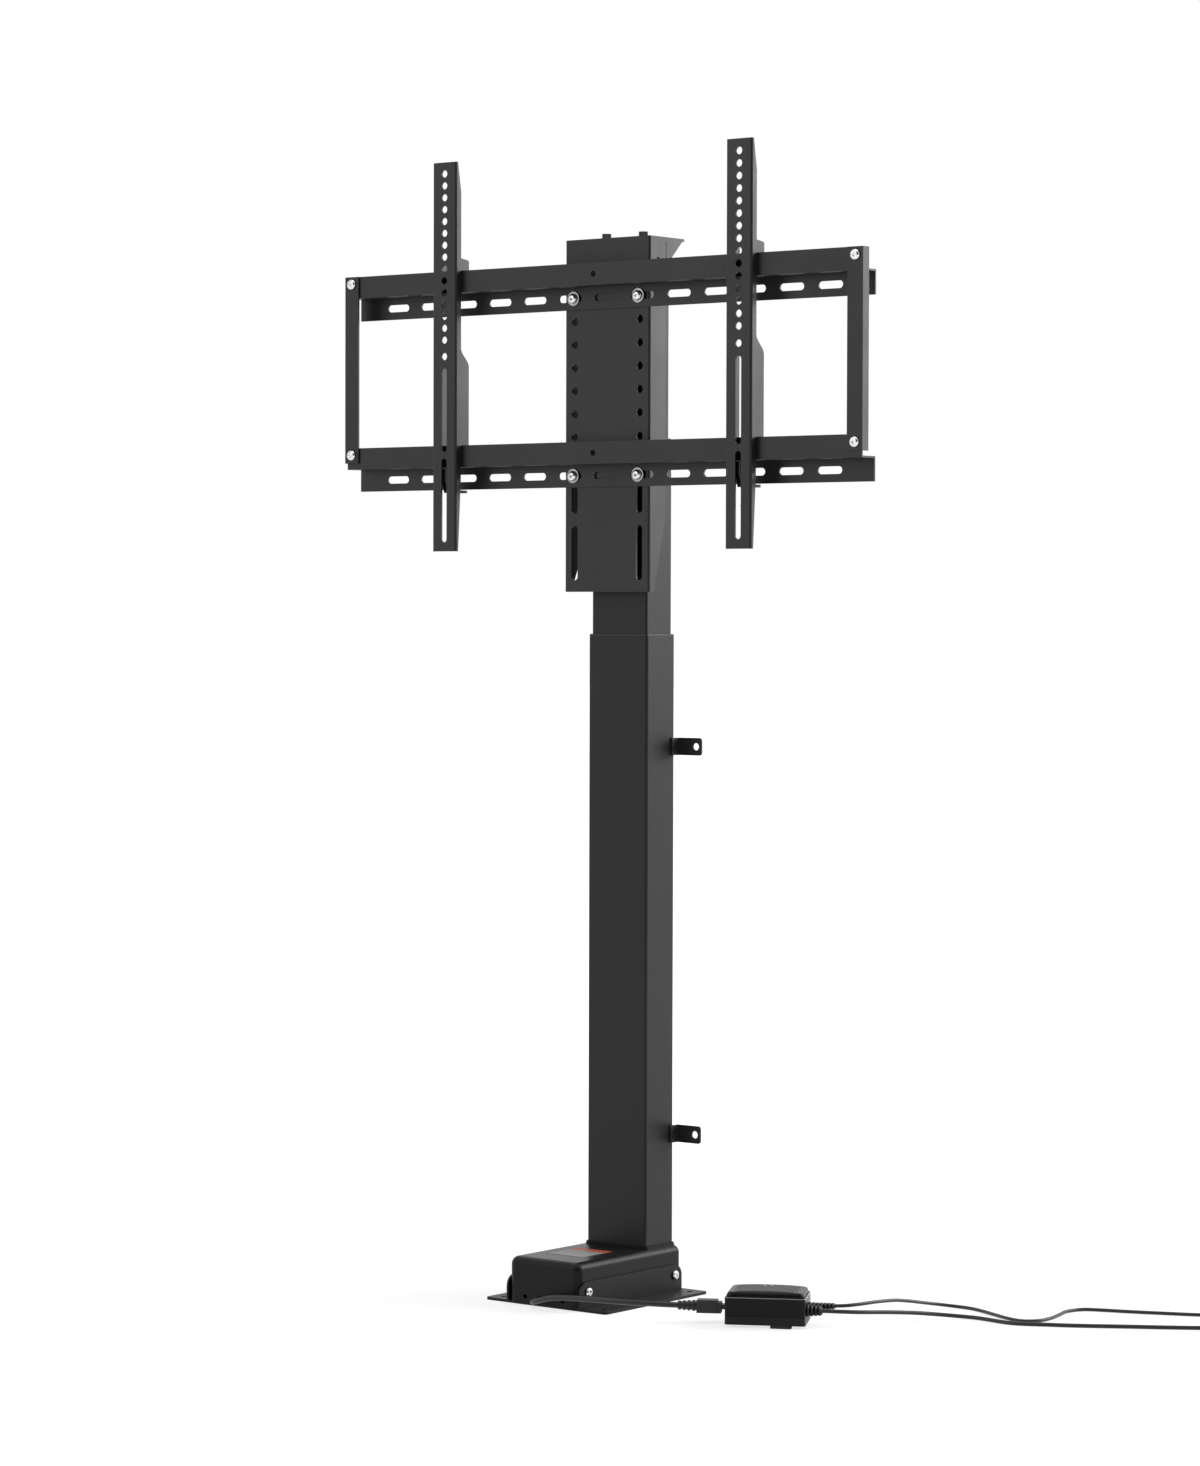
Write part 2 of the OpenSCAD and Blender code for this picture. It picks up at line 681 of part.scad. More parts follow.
module motor_cover() {
    l = cover_front + cover_back;
    h = cover_top - base_t;
    lip_w = 2 * cover_wall + 2 * seat_gap;
    color(black_gloss) difference() {
        translate([0, (cover_back - cover_front) / 2, base_t]) difference() {
            union() {
                soft_box(cover_w, l, h, cover_r);
                for (i = [0:lip_steps - 1]) translate([0, (cover_front - cover_back) / 2, h - lip_sink])
                    linear_extrude(lip_sink + cover_lip * (lip_steps - i) / lip_steps)
                        rounded_rect(tube_w + lip_w + i, tube_d + lip_w + i, tube_corner + (lip_w + i) / 2);
            }
            translate([0, 0, -e]) soft_box(cover_w - 2 * cover_wall, l - 2 * cover_wall, h - cover_wall + e,
                cover_r - cover_wall);
        }
        linear_extrude(cover_top + 2 * cover_lip)
            rounded_rect(tube_w + 2 * seat_gap, tube_d + 2 * seat_gap, tube_corner + seat_gap);
        for (y = [-side_screw_front, side_screw_back]) translate([-cover_w, y, side_screw_z])
            rotate([0, 90, 0]) cylinder(r = screw_pass_r, h = 2 * cover_w);
        translate([grommet[0], -cover_front - cut, grommet[2]]) rotate([-90, 0, 0])
            cylinder(r = lead_d / 2 + 0.5, h = 2 * cut + cover_wall);
        for (x = vent_x) translate([x, -cover_front - cut, vent_z]) rotate([-90, 0, 0])
            cylinder(r = vent_r, h = 2 * cut + cover_wall);
    }
    color(black_gloss) slab(-cover_w / 2 + cover_r, cover_w / 2 - cover_r, -cover_front, -cover_front + cover_wall,
        skirt_foot, base_t + e);
}

module cover_screws() {
    x = cover_w / 2 + seat_gap + side_t + fit_gap;
    color(chrome) for (s = [-1, 1], y = [-side_screw_front, side_screw_back])
        translate([s * x, y, side_screw_z]) rotate([0, s * 90, 0]) pan_screw(5.2, 3, 2.5, 8);
}

module cable_grommet() {
    color(rubber) translate([grommet[0], -cover_front, grommet[2]]) rotate([90, 0, 0]) {
        translate([0, 0, -cover_wall]) cylinder(r = lead_d / 2 + 0.45, h = cover_wall + e);
        cylinder(r = lead_d / 2 + 0.9, h = -grommet[1] - cover_front);
    }
}

// Motor and gearbox

module motor_can() {
    color(steel) translate([worm_x, -motor_front, worm_z]) rotate([90, 0, 0]) difference() {
        union() {
            cylinder(r = motor_d / 2, h = motor_l);
            translate([0, 0, -motor_shaft_in]) cylinder(r = motor_boss_r, h = motor_shaft_in + e);
        }
        translate([0, 0, -motor_shaft_in - cut]) cylinder(r = worm_shaft_r + slide_gap, h = 2 * motor_shaft_in);
        for (p = flange_screws) translate([p[0], p[1], -cut]) cylinder(r = 1.5, h = 6 + cut);
    }
}

module motor_end_cap() {
    color(black_paint) translate([worm_x, -motor_front - motor_l, worm_z]) rotate([90, 0, 0]) {
        cylinder(r = motor_d / 2 - 1.5, h = end_cap_l - 2);
        cylinder(r = motor_d / 4, h = end_cap_l);
        for (x = [-8, 8]) translate([x - 1, -3, 0]) cube([2, 6, end_cap_l + 4]);
    }
}

// Everything that is cut out of both halves of the gearbox
module gearbox_room() {
    translate([low_x, 0, 0]) {
        translate([0, 0, bearing_z]) cylinder(r = bearing_r, h = bearing_h);
        translate([0, 0, bearing_z]) cylinder(r = wheel_hub_r + 1, h = housing_top - bearing_z - 4);
        translate([0, 0, worm_z - wheel_face / 2 - 1.5])
            cylinder(r = wheel_tip_r + housing_cut, h = wheel_face + 3);
        translate([0, 0, upper_bearing_z]) cylinder(r = bearing_r, h = bearing_h);
        cylinder(r = spindle_r + 1, h = housing_top + cut + base_t);
    }
    translate([worm_x, 0, worm_z]) rotate([90, 0, 0]) {
        translate([0, 0, -worm_l / 2 - 1]) cylinder(r = worm_tip_r + housing_cut, h = worm_l + 2);
        for (z = [-worm_l / 2 - 1 - bush_l, worm_l / 2 + 1]) translate([0, 0, z]) cylinder(r = bush_r, h = bush_l);
        translate([0, 0, -worm_l / 2]) cylinder(r = worm_shaft_r + 0.5, h = neck_front + worm_l / 2 + cut);
        translate([0, 0, neck_front - motor_shaft_in - seat_gap])
            cylinder(r = motor_boss_r + seat_gap, h = neck_front);
        for (p = flange_screws) translate([p[0], p[1], neck_front - flange_t - cut])
            cylinder(r = 1.7, h = flange_t + 2 * cut);
    }
    for (x = gearbox_screws_x, y = [-1, 1]) translate([x, y * gearbox_screws_y, 0])
        cylinder(r = gearbox_screw_r + fit_gap, h = housing_top + cut);
}

module gearbox_body() {
    difference() {
        union() {
            slab(-housing_w / 2, housing_w / 2, -housing_d / 2, housing_d / 2, base_t, housing_top);
            slab(worm_x - neck_w / 2, worm_x + neck_w / 2, -neck_front, 0, base_t + 4, neck_top);
            translate([worm_x, -neck_front, worm_z]) rotate([-90, 0, 0]) cylinder(r = flange_r, h = flange_t);
        }
        gearbox_room();
    }
}

module gear_housing_lower() {
    color(cast_grey) intersection() {
        gearbox_body();
        slab(-base_w, base_w, -base_w, base_w, 0, worm_z);
    }
}

module gear_housing_upper() {
    color(cast_grey) intersection() {
        gearbox_body();
        slab(-base_w, base_w, -base_w, base_w, worm_z, housing_top + cut);
    }
}

module gearbox_screws() {
    color(zinc) {
        for (x = gearbox_screws_x, y = [-1, 1]) translate([x, y * gearbox_screws_y, housing_top + fit_gap])
            cap_screw(4, 4, gearbox_screw_r - fit_gap, housing_top + fit_gap - 0.5);
        for (p = flange_screws) translate([worm_x + p[0], -neck_front + flange_t + fit_gap, worm_z + p[1]])
            rotate([-90, 0, 0]) cap_screw(2.5, 2.5, 1.45, flange_t + 5);
    }
}

module gearbox_bearings() {
    color(steel) {
        for (z = [bearing_z, upper_bearing_z]) translate([low_x, 0, z])
            ring(bearing_r - fit_gap, journal_r + slide_gap, bearing_h - fit_gap);
        translate([worm_x, 0, worm_z]) rotate([90, 0, 0]) for (z = [-worm_l / 2 - 1 - bush_l, worm_l / 2 + 1])
            translate([0, 0, z]) ring(bush_r - fit_gap, worm_shaft_r + slide_gap, bush_l);
    }
}

// Spindle turned by the worm wheel, keyed along its length for the stage gear
module lower_spindle() {
    color(steel) translate([low_x, 0, 0]) difference() {
        union() {
            translate([0, 0, bearing_z + part_gap])
                cylinder(r = journal_r, h = upper_bearing_z + bearing_h - bearing_z);
            translate([0, 0, upper_bearing_z + bearing_h + part_gap])
                cylinder(r = spindle_r, h = low_spindle_top - upper_bearing_z - bearing_h - part_gap);
        }
        slab(-key_w / 2, key_w / 2, spindle_r - key_depth, spindle_r + cut,
            housing_top + 3, low_spindle_top + cut);
    }
}

module worm_wheel() {
    hub_z = bearing_z + bearing_h + part_gap;
    turn = wheel_face / worm_r * worm_lead / (2 * PI) / wheel_pitch_r * 180 / PI;
    color(brass) translate([low_x, 0, 0]) difference() {
        union() {
            translate([0, 0, hub_z]) cylinder(r = wheel_hub_r, h = upper_bearing_z - part_gap - hub_z);
            translate([0, 0, worm_z]) rotate(180 / wheel_teeth - turn / 2)
                linear_extrude(wheel_face, center = true, twist = -turn, slices = 1)
                polygon(gear_outline(worm_module, wheel_teeth, wheel_tip_r,
                    wheel_pitch_r - 1.2 * worm_module, 0.35));
        }
        translate([0, 0, hub_z - cut]) cylinder(r = journal_r + fit_gap / 2, h = housing_top);
    }
}

// Ridge of the worm along +Z, right-handed, with its crest at angle 180 when z is 0
function worm_ring(t, lead, root, tip, half_root, half_tip) =
    let (a = 180 + 360 * t, z = lead * t, c = cos(a), s = sin(a))
    [[root * c, root * s, z - half_root], [tip * c, tip * s, z - half_tip],
     [tip * c, tip * s, z + half_tip], [root * c, root * s, z + half_root]];

module worm_ridge() {
    turns = 2.5;
    steps = 20;
    count = 2 * turns * steps;
    half = worm_lead / 4 - 0.12;
    rings = [for (i = [0:count]) let (t = -turns + i / steps) each worm_ring(t, worm_lead, worm_root_r - 0.3,
        worm_tip_r, half + (1.2 * worm_module + 0.3) * tan(20), half - worm_module * tan(20))];
    polyhedron(rings, tube_faces(count + 1, 4), convexity = 10);
}

module worm_shaft() {
    back = worm_l / 2 + 1 + bush_l;
    color(steel) translate([worm_x, 0, worm_z]) rotate([-90, 0, 0]) {
        translate([0, 0, -worm_l / 2]) cylinder(r = worm_root_r, h = worm_l);
        worm_ridge();
        translate([0, 0, -neck_front + 1]) cylinder(r = worm_shaft_r, h = neck_front - 1 + back);
    }
}

// Column

module stage_tube(k, z0, z1) {
    translate([0, 0, z0]) linear_extrude(z1 - z0) difference() {
        rounded_rect(stage_w(k), stage_d(k), stage_r(k));
        rounded_rect(bore_w(k), bore_d(k), bore_r(k));
    }
}

// Plastic sleeve in a tube's top: collar above the tube's end, guide skirt inside it
module stage_sleeve(k, z) {
    inner_w = stage_w(k + 1) + 2 * run_gap;
    inner_d = stage_d(k + 1) + 2 * run_gap;
    difference() {
        union() {
            translate([0, 0, z]) linear_extrude(collar_h * 0.6) rounded_rect(stage_w(k), stage_d(k), stage_r(k));
            translate([0, 0, z]) linear_extrude(collar_h)
                rounded_rect(stage_w(k) - 1, stage_d(k) - 1, stage_r(k) - 0.5);
            translate([0, 0, z - sleeve_l]) linear_extrude(sleeve_l + e)
                rounded_rect(bore_w(k) - 2 * fit_gap, bore_d(k) - 2 * fit_gap, bore_r(k));
        }
        translate([0, 0, z - sleeve_l - cut]) linear_extrude(sleeve_l + collar_h + 2 * cut)
            rounded_rect(inner_w, inner_d, stage_r(k + 1) + run_gap);
    }
}

module stage_glide_band(k, z) {
    translate([0, 0, z]) linear_extrude(glide_h) difference() {
        rounded_rect(stage_w(k) + 2 * glide_t, stage_d(k) + 2 * glide_t, stage_r(k) + 0.3);
        rounded_rect(stage_w(k) + 2 * fit_gap, stage_d(k) + 2 * fit_gap, stage_r(k));
    }
}

module outer_tube() {
    color(black_paint) difference() {
        stage_tube(0, base_t, tube_top);
        slab(worm_x - neck_w / 2 - 1, worm_x + neck_w / 2 + 1, -tube_d, -tube_d / 2 + tube_wall + 0.5,
            base_t - cut, neck_top + 1);
    }
}

module outer_sleeve() {
    color(black_gloss) stage_sleeve(0, tube_top);
}

module wall_tab() {
    x = tube_w / 2;
    back = tube_d / 2 + tab_gap;
    translate([0, 0, -tab_h / 2]) slab(x, x + tab_t, tube_d / 2 - 7, back, 0, tab_h);
    translate([0, back, 0]) rotate([90, 0, 0]) linear_extrude(tab_t) difference() {
        union() {
            translate([x, -tab_h / 2]) square([tab_reach - 3, tab_h]);
            translate([x + tab_reach - 4, -tab_h / 2 + 3]) square([4, tab_h - 6]);
            for (s = [-1, 1]) translate([x + tab_reach - 3, s * (tab_h / 2 - 3)]) circle(3);
        }
        translate([x + tab_reach - tab_hole_inset, 0]) circle(tab_hole_d / 2);
    }
}

module wall_tabs() {
    color(black_paint) for (z = [tab_low_z, tab_high_z], m = [0, 1])
        translate([0, 0, z]) mirror([m, 0, 0]) wall_tab();
}

// Middle stage

module middle_tube() {
    color(black_paint) stage_tube(1, foot_z, middle_top);
}

module middle_sleeve() {
    color(black_gloss) stage_sleeve(1, middle_top);
}

module middle_glide_band() {
    color(nylon) stage_glide_band(1, foot_z + 4);
}

module middle_nut_block() {
    color(nylon) difference() {
        translate([0, 0, foot_z]) linear_extrude(block_h)
            rounded_rect(bore_w(1) - 2 * seat_gap, bore_d(1) - 2 * seat_gap, bore_r(1));
        translate([low_x, 0, foot_z - cut]) cylinder(r = nut_r + fit_gap, h = block_h + 2 * cut);
        translate([high_x, 0, high_spindle_foot - part_gap]) cylinder(r = journal_r + slide_gap, h = block_h);
        for (x = [-1, 1], y = [-1, 1]) translate([x * posts_x, y * posts_y, foot_z + 6])
            cylinder(r = post_r, h = block_h);
    }
}

// Flanged nut seen from its foot: the barrel fills the block, the lip bears on the block's underside
module spindle_nut(h) {
    difference() {
        union() {
            cylinder(r = nut_r, h = h);
            translate([0, 0, -nut_lip_h]) cylinder(r = nut_r + nut_lip, h = nut_lip_h);
        }
        translate([0, 0, -nut_lip_h - cut]) cylinder(r = spindle_r + slide_gap, h = h + nut_lip_h + 2 * cut);
    }
}

module lower_nut() {
    color(brass) translate([low_x, 0, foot_z]) spindle_nut(block_h - 0.5);
}

module gear_plate() {
    color(steel) difference() {
        translate([0, 0, gear_plate_z]) linear_extrude(gear_plate_t)
            rounded_rect(bore_w(1) - 2 * seat_gap, bore_d(1) - 2 * seat_gap, bore_r(1));
        for (x = [low_x, high_x]) translate([x, 0, gear_plate_z - cut])
            cylinder(r = (x < 0 ? spindle_r + 0.5 : journal_r + slide_gap), h = gear_plate_t + 2 * cut);
        for (x = [-1, 1], y = [-1, 1]) translate([x * posts_x, y * posts_y, gear_plate_z - cut])
            cylinder(r = post_r, h = gear_plate_t + 2 * cut);
    }
}

module gear_posts() {
    color(zinc) for (x = [-1, 1], y = [-1, 1]) translate([x * posts_x, y * posts_y, foot_z + 6])
        cylinder(r = post_r - fit_gap, h = gear_plate_z + gear_plate_t - foot_z - 6);
}

module stage_gear(bore) {
    difference() {
        linear_extrude(gear_face)
            polygon(gear_outline(gear_module, gear_teeth, gear_tip_r, gear_r - 1.25 * gear_module, 0.3));
        translate([0, 0, -cut]) cylinder(r = bore, h = gear_face + 2 * cut);
    }
}

// Gear that slides along the lower spindle with the stage, turned by its key
module drive_gear() {
    color(steel) translate([low_x, 0, gear_z]) {
        stage_gear(spindle_r + slide_gap);
        slab(-key_w / 2 + 0.1, key_w / 2 - 0.1, spindle_r - key_depth + 0.1, spindle_r + 1, 0, gear_face);
    }
}

module upper_gear() {
    color(steel) translate([high_x, 0, gear_z]) rotate(180 + 180 / gear_teeth)
        stage_gear(journal_r + fit_gap / 2);
}

module upper_spindle() {
    neck = gear_plate_z + gear_plate_t + part_gap;
    color(steel) translate([high_x, 0, 0]) {
        translate([0, 0, high_spindle_foot]) cylinder(r = journal_r, h = neck - high_spindle_foot);
        translate([0, 0, neck]) cylinder(r = spindle_r, h = high_spindle_top - neck);
    }
}

// Inner stage

module inner_tube() {
    color(black_paint) stage_tube(2, inner_foot_z, inner_top);
}

module inner_glide_band() {
    color(nylon) stage_glide_band(2, inner_foot_z + 4);
}

module inner_nut_block() {
    color(nylon) difference() {
        translate([0, 0, inner_foot_z]) linear_extrude(inner_block_h)
            rounded_rect(bore_w(2) - 2 * seat_gap, bore_d(2) - 2 * seat_gap, bore_r(2));
        translate([high_x, 0, inner_foot_z - cut]) cylinder(r = nut_r + fit_gap, h = inner_block_h + 2 * cut);
        translate([low_x, 0, inner_foot_z - cut]) cylinder(r = spindle_r + 1.5, h = inner_block_h + 2 * cut);
    }
}

module upper_nut() {
    color(brass) translate([high_x, 0, inner_foot_z]) spindle_nut(inner_block_h - 0.5);
}

module inner_top_block() {
    color(cast_grey) difference() {
        translate([0, 0, inner_top - cap_h]) linear_extrude(cap_h)
            rounded_rect(bore_w(2) - 2 * seat_gap, bore_d(2) - 2 * seat_gap, bore_r(2));
        bracket_screw_places() translate([0, 0, -cap_h - cut]) cylinder(r = bracket_screw_r, h = cap_h + 2 * cut);
    }
}

// Bracket

module bracket_screw_places(sides = [-1, 1]) {
    for (x = [-1, 1], y = sides)
        translate([x * bracket_screws_x, y * bracket_screws_y, inner_top]) children();
}

module bracket_side_shape(taper) {
    front = -bracket_front;
    wing = bracket_back + wing_reach;
    polygon([[front, bracket_foot], [front + flange_foot, bracket_foot],
        [bracket_back, bracket_foot + taper], [bracket_back, bracket_top - wing_reach],
        [wing, bracket_top - 1], [wing, bracket_top], [front, bracket_top]]);
}

module tv_bracket() {
    wing = bracket_back + wing_reach;
    color(black_paint) difference() {
        union() {
            intersection() {
                translate([0, -bracket_front, bracket_foot]) linear_extrude(bracket_h)
                    channel_shape(bracket_w, bracket_front + wing + cut, bracket_t, sheet_bend);
                union() {
                    rotate([90, 0, 90]) linear_extrude(bracket_w) bracket_side_shape(flange_taper);
                    translate([-bracket_w, 0, 0]) rotate([90, 0, 90]) linear_extrude(bracket_w + e)
                        bracket_side_shape(left_taper);
                }
            }
            slab(-bracket_w / 2 + bracket_t - e, bracket_w / 2 - bracket_t + e, -bracket_front + bracket_t - e,
                stage_d(2) / 2, inner_top, bracket_top);
        }
        for (x = [-1, 1], i = [0:row_count - 1])
            translate([x * row_span / 2, -bracket_front - cut, row_z - i * row_pitch]) rotate([-90, 0, 0])
                cylinder(d = row_hole_d, h = bracket_t + 2 * cut);
        for (x = [-1, 1], z = [low_slot_z, low_slot_z + slot_rise])
            translate([x * row_span / 2, -bracket_front + bracket_t + cut, bracket_foot + z]) rotate([90, 90, 0])
                linear_extrude(bracket_t + 2 * cut) slot_shape(row_slot_l, row_hole_d - 0.5);
        bracket_screw_places() translate([0, 0, -cut])
            cylinder(r = bracket_screw_r + hole_gap, h = bracket_t + 2 * cut);
        for (x = [-1, 1]) translate([x * bracket_w / 2 - bracket_t * 1.5, 0, bracket_top]) {
            translate([0, side_hole_y, -side_hole_drop]) rotate([0, 90, 0])
                cylinder(r = side_hole_r, h = 3 * bracket_t);
            translate([0, bracket_back, -wing_reach - cut])
                cube([3 * bracket_t, fold_gap, wing_reach + cut - bracket_t - 2]);
        }
    }
}

// Socket heads on washers in front, low heads behind
module bracket_screws() {
    washer = 1.6;
    shank = bracket_t + 10;
    color(black_gloss) {
        bracket_screw_places([-1]) translate([0, 0, bracket_t]) {
            ring(6, bracket_screw_r + fit_gap, washer);
            translate([0, 0, washer]) cap_screw(5, 6, bracket_screw_r - fit_gap, washer + shank);
        }
        bracket_screw_places([1]) translate([0, 0, bracket_t])
            pan_screw(6.4, 3.2, bracket_screw_r - fit_gap, shank);
    }
}

// Rails and end bars

module rail(z) {
    l = rail_l / 2;
    color(black_paint) difference() {
        translate([-l, 0, z]) rotate([90, 0, 90]) linear_extrude(rail_l) polygon([
            [rail_back, -rail_flange_h], [rail_back, rail_t], [rail_front + rail_t, rail_t],
            [rail_front + rail_t, rail_face_h], [rail_front, rail_face_h], [rail_front, 0],
            [rail_flange_front, 0], [rail_flange_front, -rail_flange_h]]);
        for (i = [-(rail_slots - 1) / 2:(rail_slots - 1) / 2])
            translate([i * rail_slot_pitch, rail_back + cut, z - rail_slot_drop]) rotate([90, 0, 0])
                linear_extrude(rail_t + 2 * cut) slot_shape(rail_slot_l, rail_slot_w);
        translate([0, rail_front - cut, z + rail_face_h / 2]) rotate([-90, 0, 0])
            cylinder(d = rail_pin_d, h = rail_t + 2 * cut);
        for (x = [-1, 1], h = bar_screw_heights()) translate([x * bar_screw_x, rail_front - cut, h])
            rotate([-90, 0, 0]) cylinder(r = screw_pass_r, h = rail_t + 2 * cut);
    }
}

function bar_screw_heights() = [bar_z + bar_screw_rise, bar_top - bar_screw_drop];

module upper_rail() {
    rail(upper_rail_z);
}

module lower_rail() {
    rail(lower_rail_z);
}

// L-section bar with its face in front of the rails and its flange past their ends
module end_bar() {
    outer = rail_l / 2 + rail_t;
    difference() {
        union() {
            slab(outer - bar_w, outer, rail_front - rail_t, rail_front, bar_z, bar_top);
            slab(outer - rail_t + fit_gap, outer, rail_front - rail_t, rail_front - rail_t + bar_depth,
                bar_z, bar_top);
        }
        for (h = bar_screw_heights()) translate([bar_screw_x, rail_front - rail_t - cut, h])
            rotate([-90, 0, 0]) cylinder(r = screw_pass_r, h = rail_t + 2 * cut);
    }
}

module end_bars() {
    color(black_paint) for (m = [0, 1]) mirror([m, 0, 0]) end_bar();
}

module end_bar_screws() {
    color(chrome) for (x = [-1, 1], h = bar_screw_heights())
        translate([x * bar_screw_x, rail_front - rail_t, h]) rotate([90, 0, 0]) pan_screw(5.8, 3.2, 2.5, 8);
}

module bolt_places() {
    for (x = [-1, 1], z = [upper_rail_z, lower_rail_z])
        translate([x * row_span / 2, rail_flange_front, z - rail_slot_drop]) rotate([90, 0, 0]) children();
}

module rail_bolts() {
    color(chrome) bolt_places() translate([0, 0, washer_t])
        pan_screw(5.4, 4, rail_bolt_r, washer_t + rail_t + bracket_t + nut_h + 3);
}

module rail_washers() {
    color(chrome) bolt_places() {
        ring(washer_r, rail_bolt_r + 0.1, washer_t);
        translate([0, 0, -rail_t - bracket_t - washer_t]) ring(washer_r, rail_bolt_r + 0.1, washer_t);
    }
}

module rail_nuts() {
    color(zinc) bolt_places() translate([0, 0, -rail_t - bracket_t - washer_t - nut_h]) difference() {
        cylinder(r = nut_flats_r, h = nut_h, $fn = 6);
        translate([0, 0, -cut]) cylinder(r = rail_bolt_r + fit_gap, h = nut_h + 2 * cut);
    }
}

// Television arms

// Outline of a hook's side, as depth behind the arm's face and height above a rail's lower edge
function notch_points() = let (front = arm_standoff - run_gap, back = arm_standoff + rail_t + 0.7,
    top = rail_face_h + run_gap)
    [[arm_depth, -2.5], [front, -1.5], [front, top], [back, top], [back, rail_t + 4],
     [hook_depth - 3, rail_t + 4], [hook_depth, rail_t + 7]];
function swell(z0, z1, d0, d1) = [for (i = [0:8]) let (t = i / 8)
    [d0 + (d1 - d0) * (0.5 - 0.5 * cos(180 * t)), z0 + (z1 - z0) * t]];
function raise(points, z) = [for (p = points) [p[0], p[1] + z]];

module arm_side_shape() {
    hook_top = upper_rail_z + rail_face_h + hook_rise;
    swell_z = lower_rail_z + rail_face_h + swell_rise;
    polygon(concat([[0, arm_foot], [arm_foot_depth, arm_foot], [arm_depth, arm_foot + arm_foot_l]],
        raise(notch_points(), lower_rail_z), swell(swell_z, swell_z + swell_l, hook_depth, arm_depth),
        raise(notch_points(), upper_rail_z),
        [[hook_depth, hook_top - 1.5], [hook_depth - 2, hook_top], [arm_depth, hook_top + 1.5],
         [arm_depth, arm_top - arm_tip_l], [arm_tip_depth, arm_top], [0, arm_top]]));
}

module arm() {
    color(black_paint) difference() {
        intersection() {
            translate([0, arm_front, arm_foot]) linear_extrude(arm_top - arm_foot)
                channel_shape(arm_w, hook_depth + cut, arm_t, sheet_bend);
            translate([-arm_w, arm_front, 0]) rotate([90, 0, 90]) linear_extrude(2 * arm_w) arm_side_shape();
        }
        for (i = [0:arm_holes - 1]) arm_hole(arm_first_hole - i * arm_hole_pitch);
        arm_hole(arm_last_hole);
        for (z = [arm_slot_upper, arm_slot_lower]) translate([0, arm_front + arm_t + cut, z]) rotate([90, 90, 0])
            linear_extrude(arm_t + 2 * cut) slot_shape(arm_slot_l, arm_slot_w);
        translate([-arm_w, lock_y, lock_z]) rotate([0, 90, 0]) cylinder(r = lock_r + fit_gap, h = 2 * arm_w);
    }
}

module arm_hole(z) {
    translate([0, arm_front - cut, z]) rotate([-90, 0, 0]) cylinder(d = arm_hole_d, h = arm_t + 2 * cut);
}

module left_arm() {
    translate([-arm_spacing / 2, 0, 0]) arm();
}

module right_arm() {
    translate([arm_spacing / 2, 0, 0]) arm();
}

// Catch seen from the side, with the pin's axis at the origin and the finger running back
module catch_shape() {
    polygon([[-2, catch_top], [-2, 0], [-1.4, -4], [1.5, catch_foot], [finger_l, catch_foot],
        [finger_l, catch_foot + finger_t], [catch_back + 2, catch_foot + finger_t],
        [catch_back, catch_foot + finger_t + 3], [catch_back, catch_top]]);
}

// The catch and its pin turn together in the arm's flanges, and the pull wire hangs below
module arm_lock() {
    translate([0, lock_y, lock_z]) {
        color(zinc) translate([-arm_w / 2 + 0.2, 0, 0]) rotate([0, 90, 0]) cylinder(r = lock_r, h = arm_w - 0.4);
        color(black_gloss) translate([-catch_w / 2, 0, 0]) rotate([90, 0, 90])
            linear_extrude(catch_w) catch_shape();
        color(zinc) translate([pull_x, pull_y, catch_foot]) {
            translate([0, 0, -pull_l]) cylinder(r = pull_r, h = pull_l + 1);
            translate([0, 0, -pull_l]) rotate([0, -90, 0]) cylinder(r = pull_r, h = 2 * pull_x);
            translate([0, 0, -pull_l]) sphere(pull_r);
        }
    }
}

module left_arm_lock() {
    translate([-arm_spacing / 2, 0, 0]) arm_lock();
}

module right_arm_lock() {
    translate([arm_spacing / 2, 0, 0]) arm_lock();
}

// Control box

module box_openings() {
    translate([-box_l / 2 - cut, -connector_w / 2 + 1, socket_z - connector_w / 2 + 1])
        cube([box_wall + 2 * cut, connector_w - 2, connector_w - 2]);
    for (y = [sensor_relief_y, power_relief_y]) translate([box_l / 2 - box_wall - cut, y, relief_z])
        rotate([0, 90, 0]) cylinder(r = relief_neck_r + fit_gap, h = box_wall + 2 * cut);
}

module box_tray() {
    color(black_gloss) at_box() difference() {
        translate([0, 0, foot_h]) difference() {
            linear_extrude(tray_h - 0.15) rounded_rect(box_l, box_d, box_r);
            translate([0, 0, box_wall]) linear_extrude(tray_h)
                rounded_rect(box_l - 2 * box_wall, box_d - 2 * box_wall, box_r - box_wall);
        }
        box_openings();
    }
}

module box_lid() {
    inset = 1.5;
    color(black_gloss) at_box() difference() {
        translate([0, 0, foot_h]) difference() {
            union() {
                translate([0, 0, tray_h]) linear_extrude(box_h - tray_h) rounded_rect(box_l, box_d, box_r);
                intersection() {
                    translate([0, 0, box_h - e])
                        soft_box(box_l - 2 * inset, box_d - 2 * inset, crown_h, crown_h - 1);
                    translate([0, box_d, box_h + crown_h - lid_arch_r]) rotate([90, 0, 0])
                        cylinder(r = lid_arch_r, h = 2 * box_d, $fn = 720);
                }
            }
            translate([0, 0, tray_h - cut]) linear_extrude(box_h - tray_h + cut)
                rounded_rect(box_l - 2 * box_wall, box_d - 2 * box_wall, box_r - box_wall);
            translate([0, 0, box_h - 2 * e])
                soft_box(box_l - 2 * inset - 2 * box_wall, box_d - 2 * inset - 2 * box_wall,
                    crown_h - box_wall - lid_arch_rise, crown_h - 1 - box_wall - lid_arch_rise);
        }
        box_openings();
    }
}

module box_feet() {
    y = box_d / 2 - box_foot_w / 2;
    color(rubber) at_box() for (p = [[front_foot_x, -y], [-box_foot_x, y], [box_foot_x, y]])
        translate(p) linear_extrude(foot_h) rounded_rect(box_foot_l, box_foot_w, 2);
}

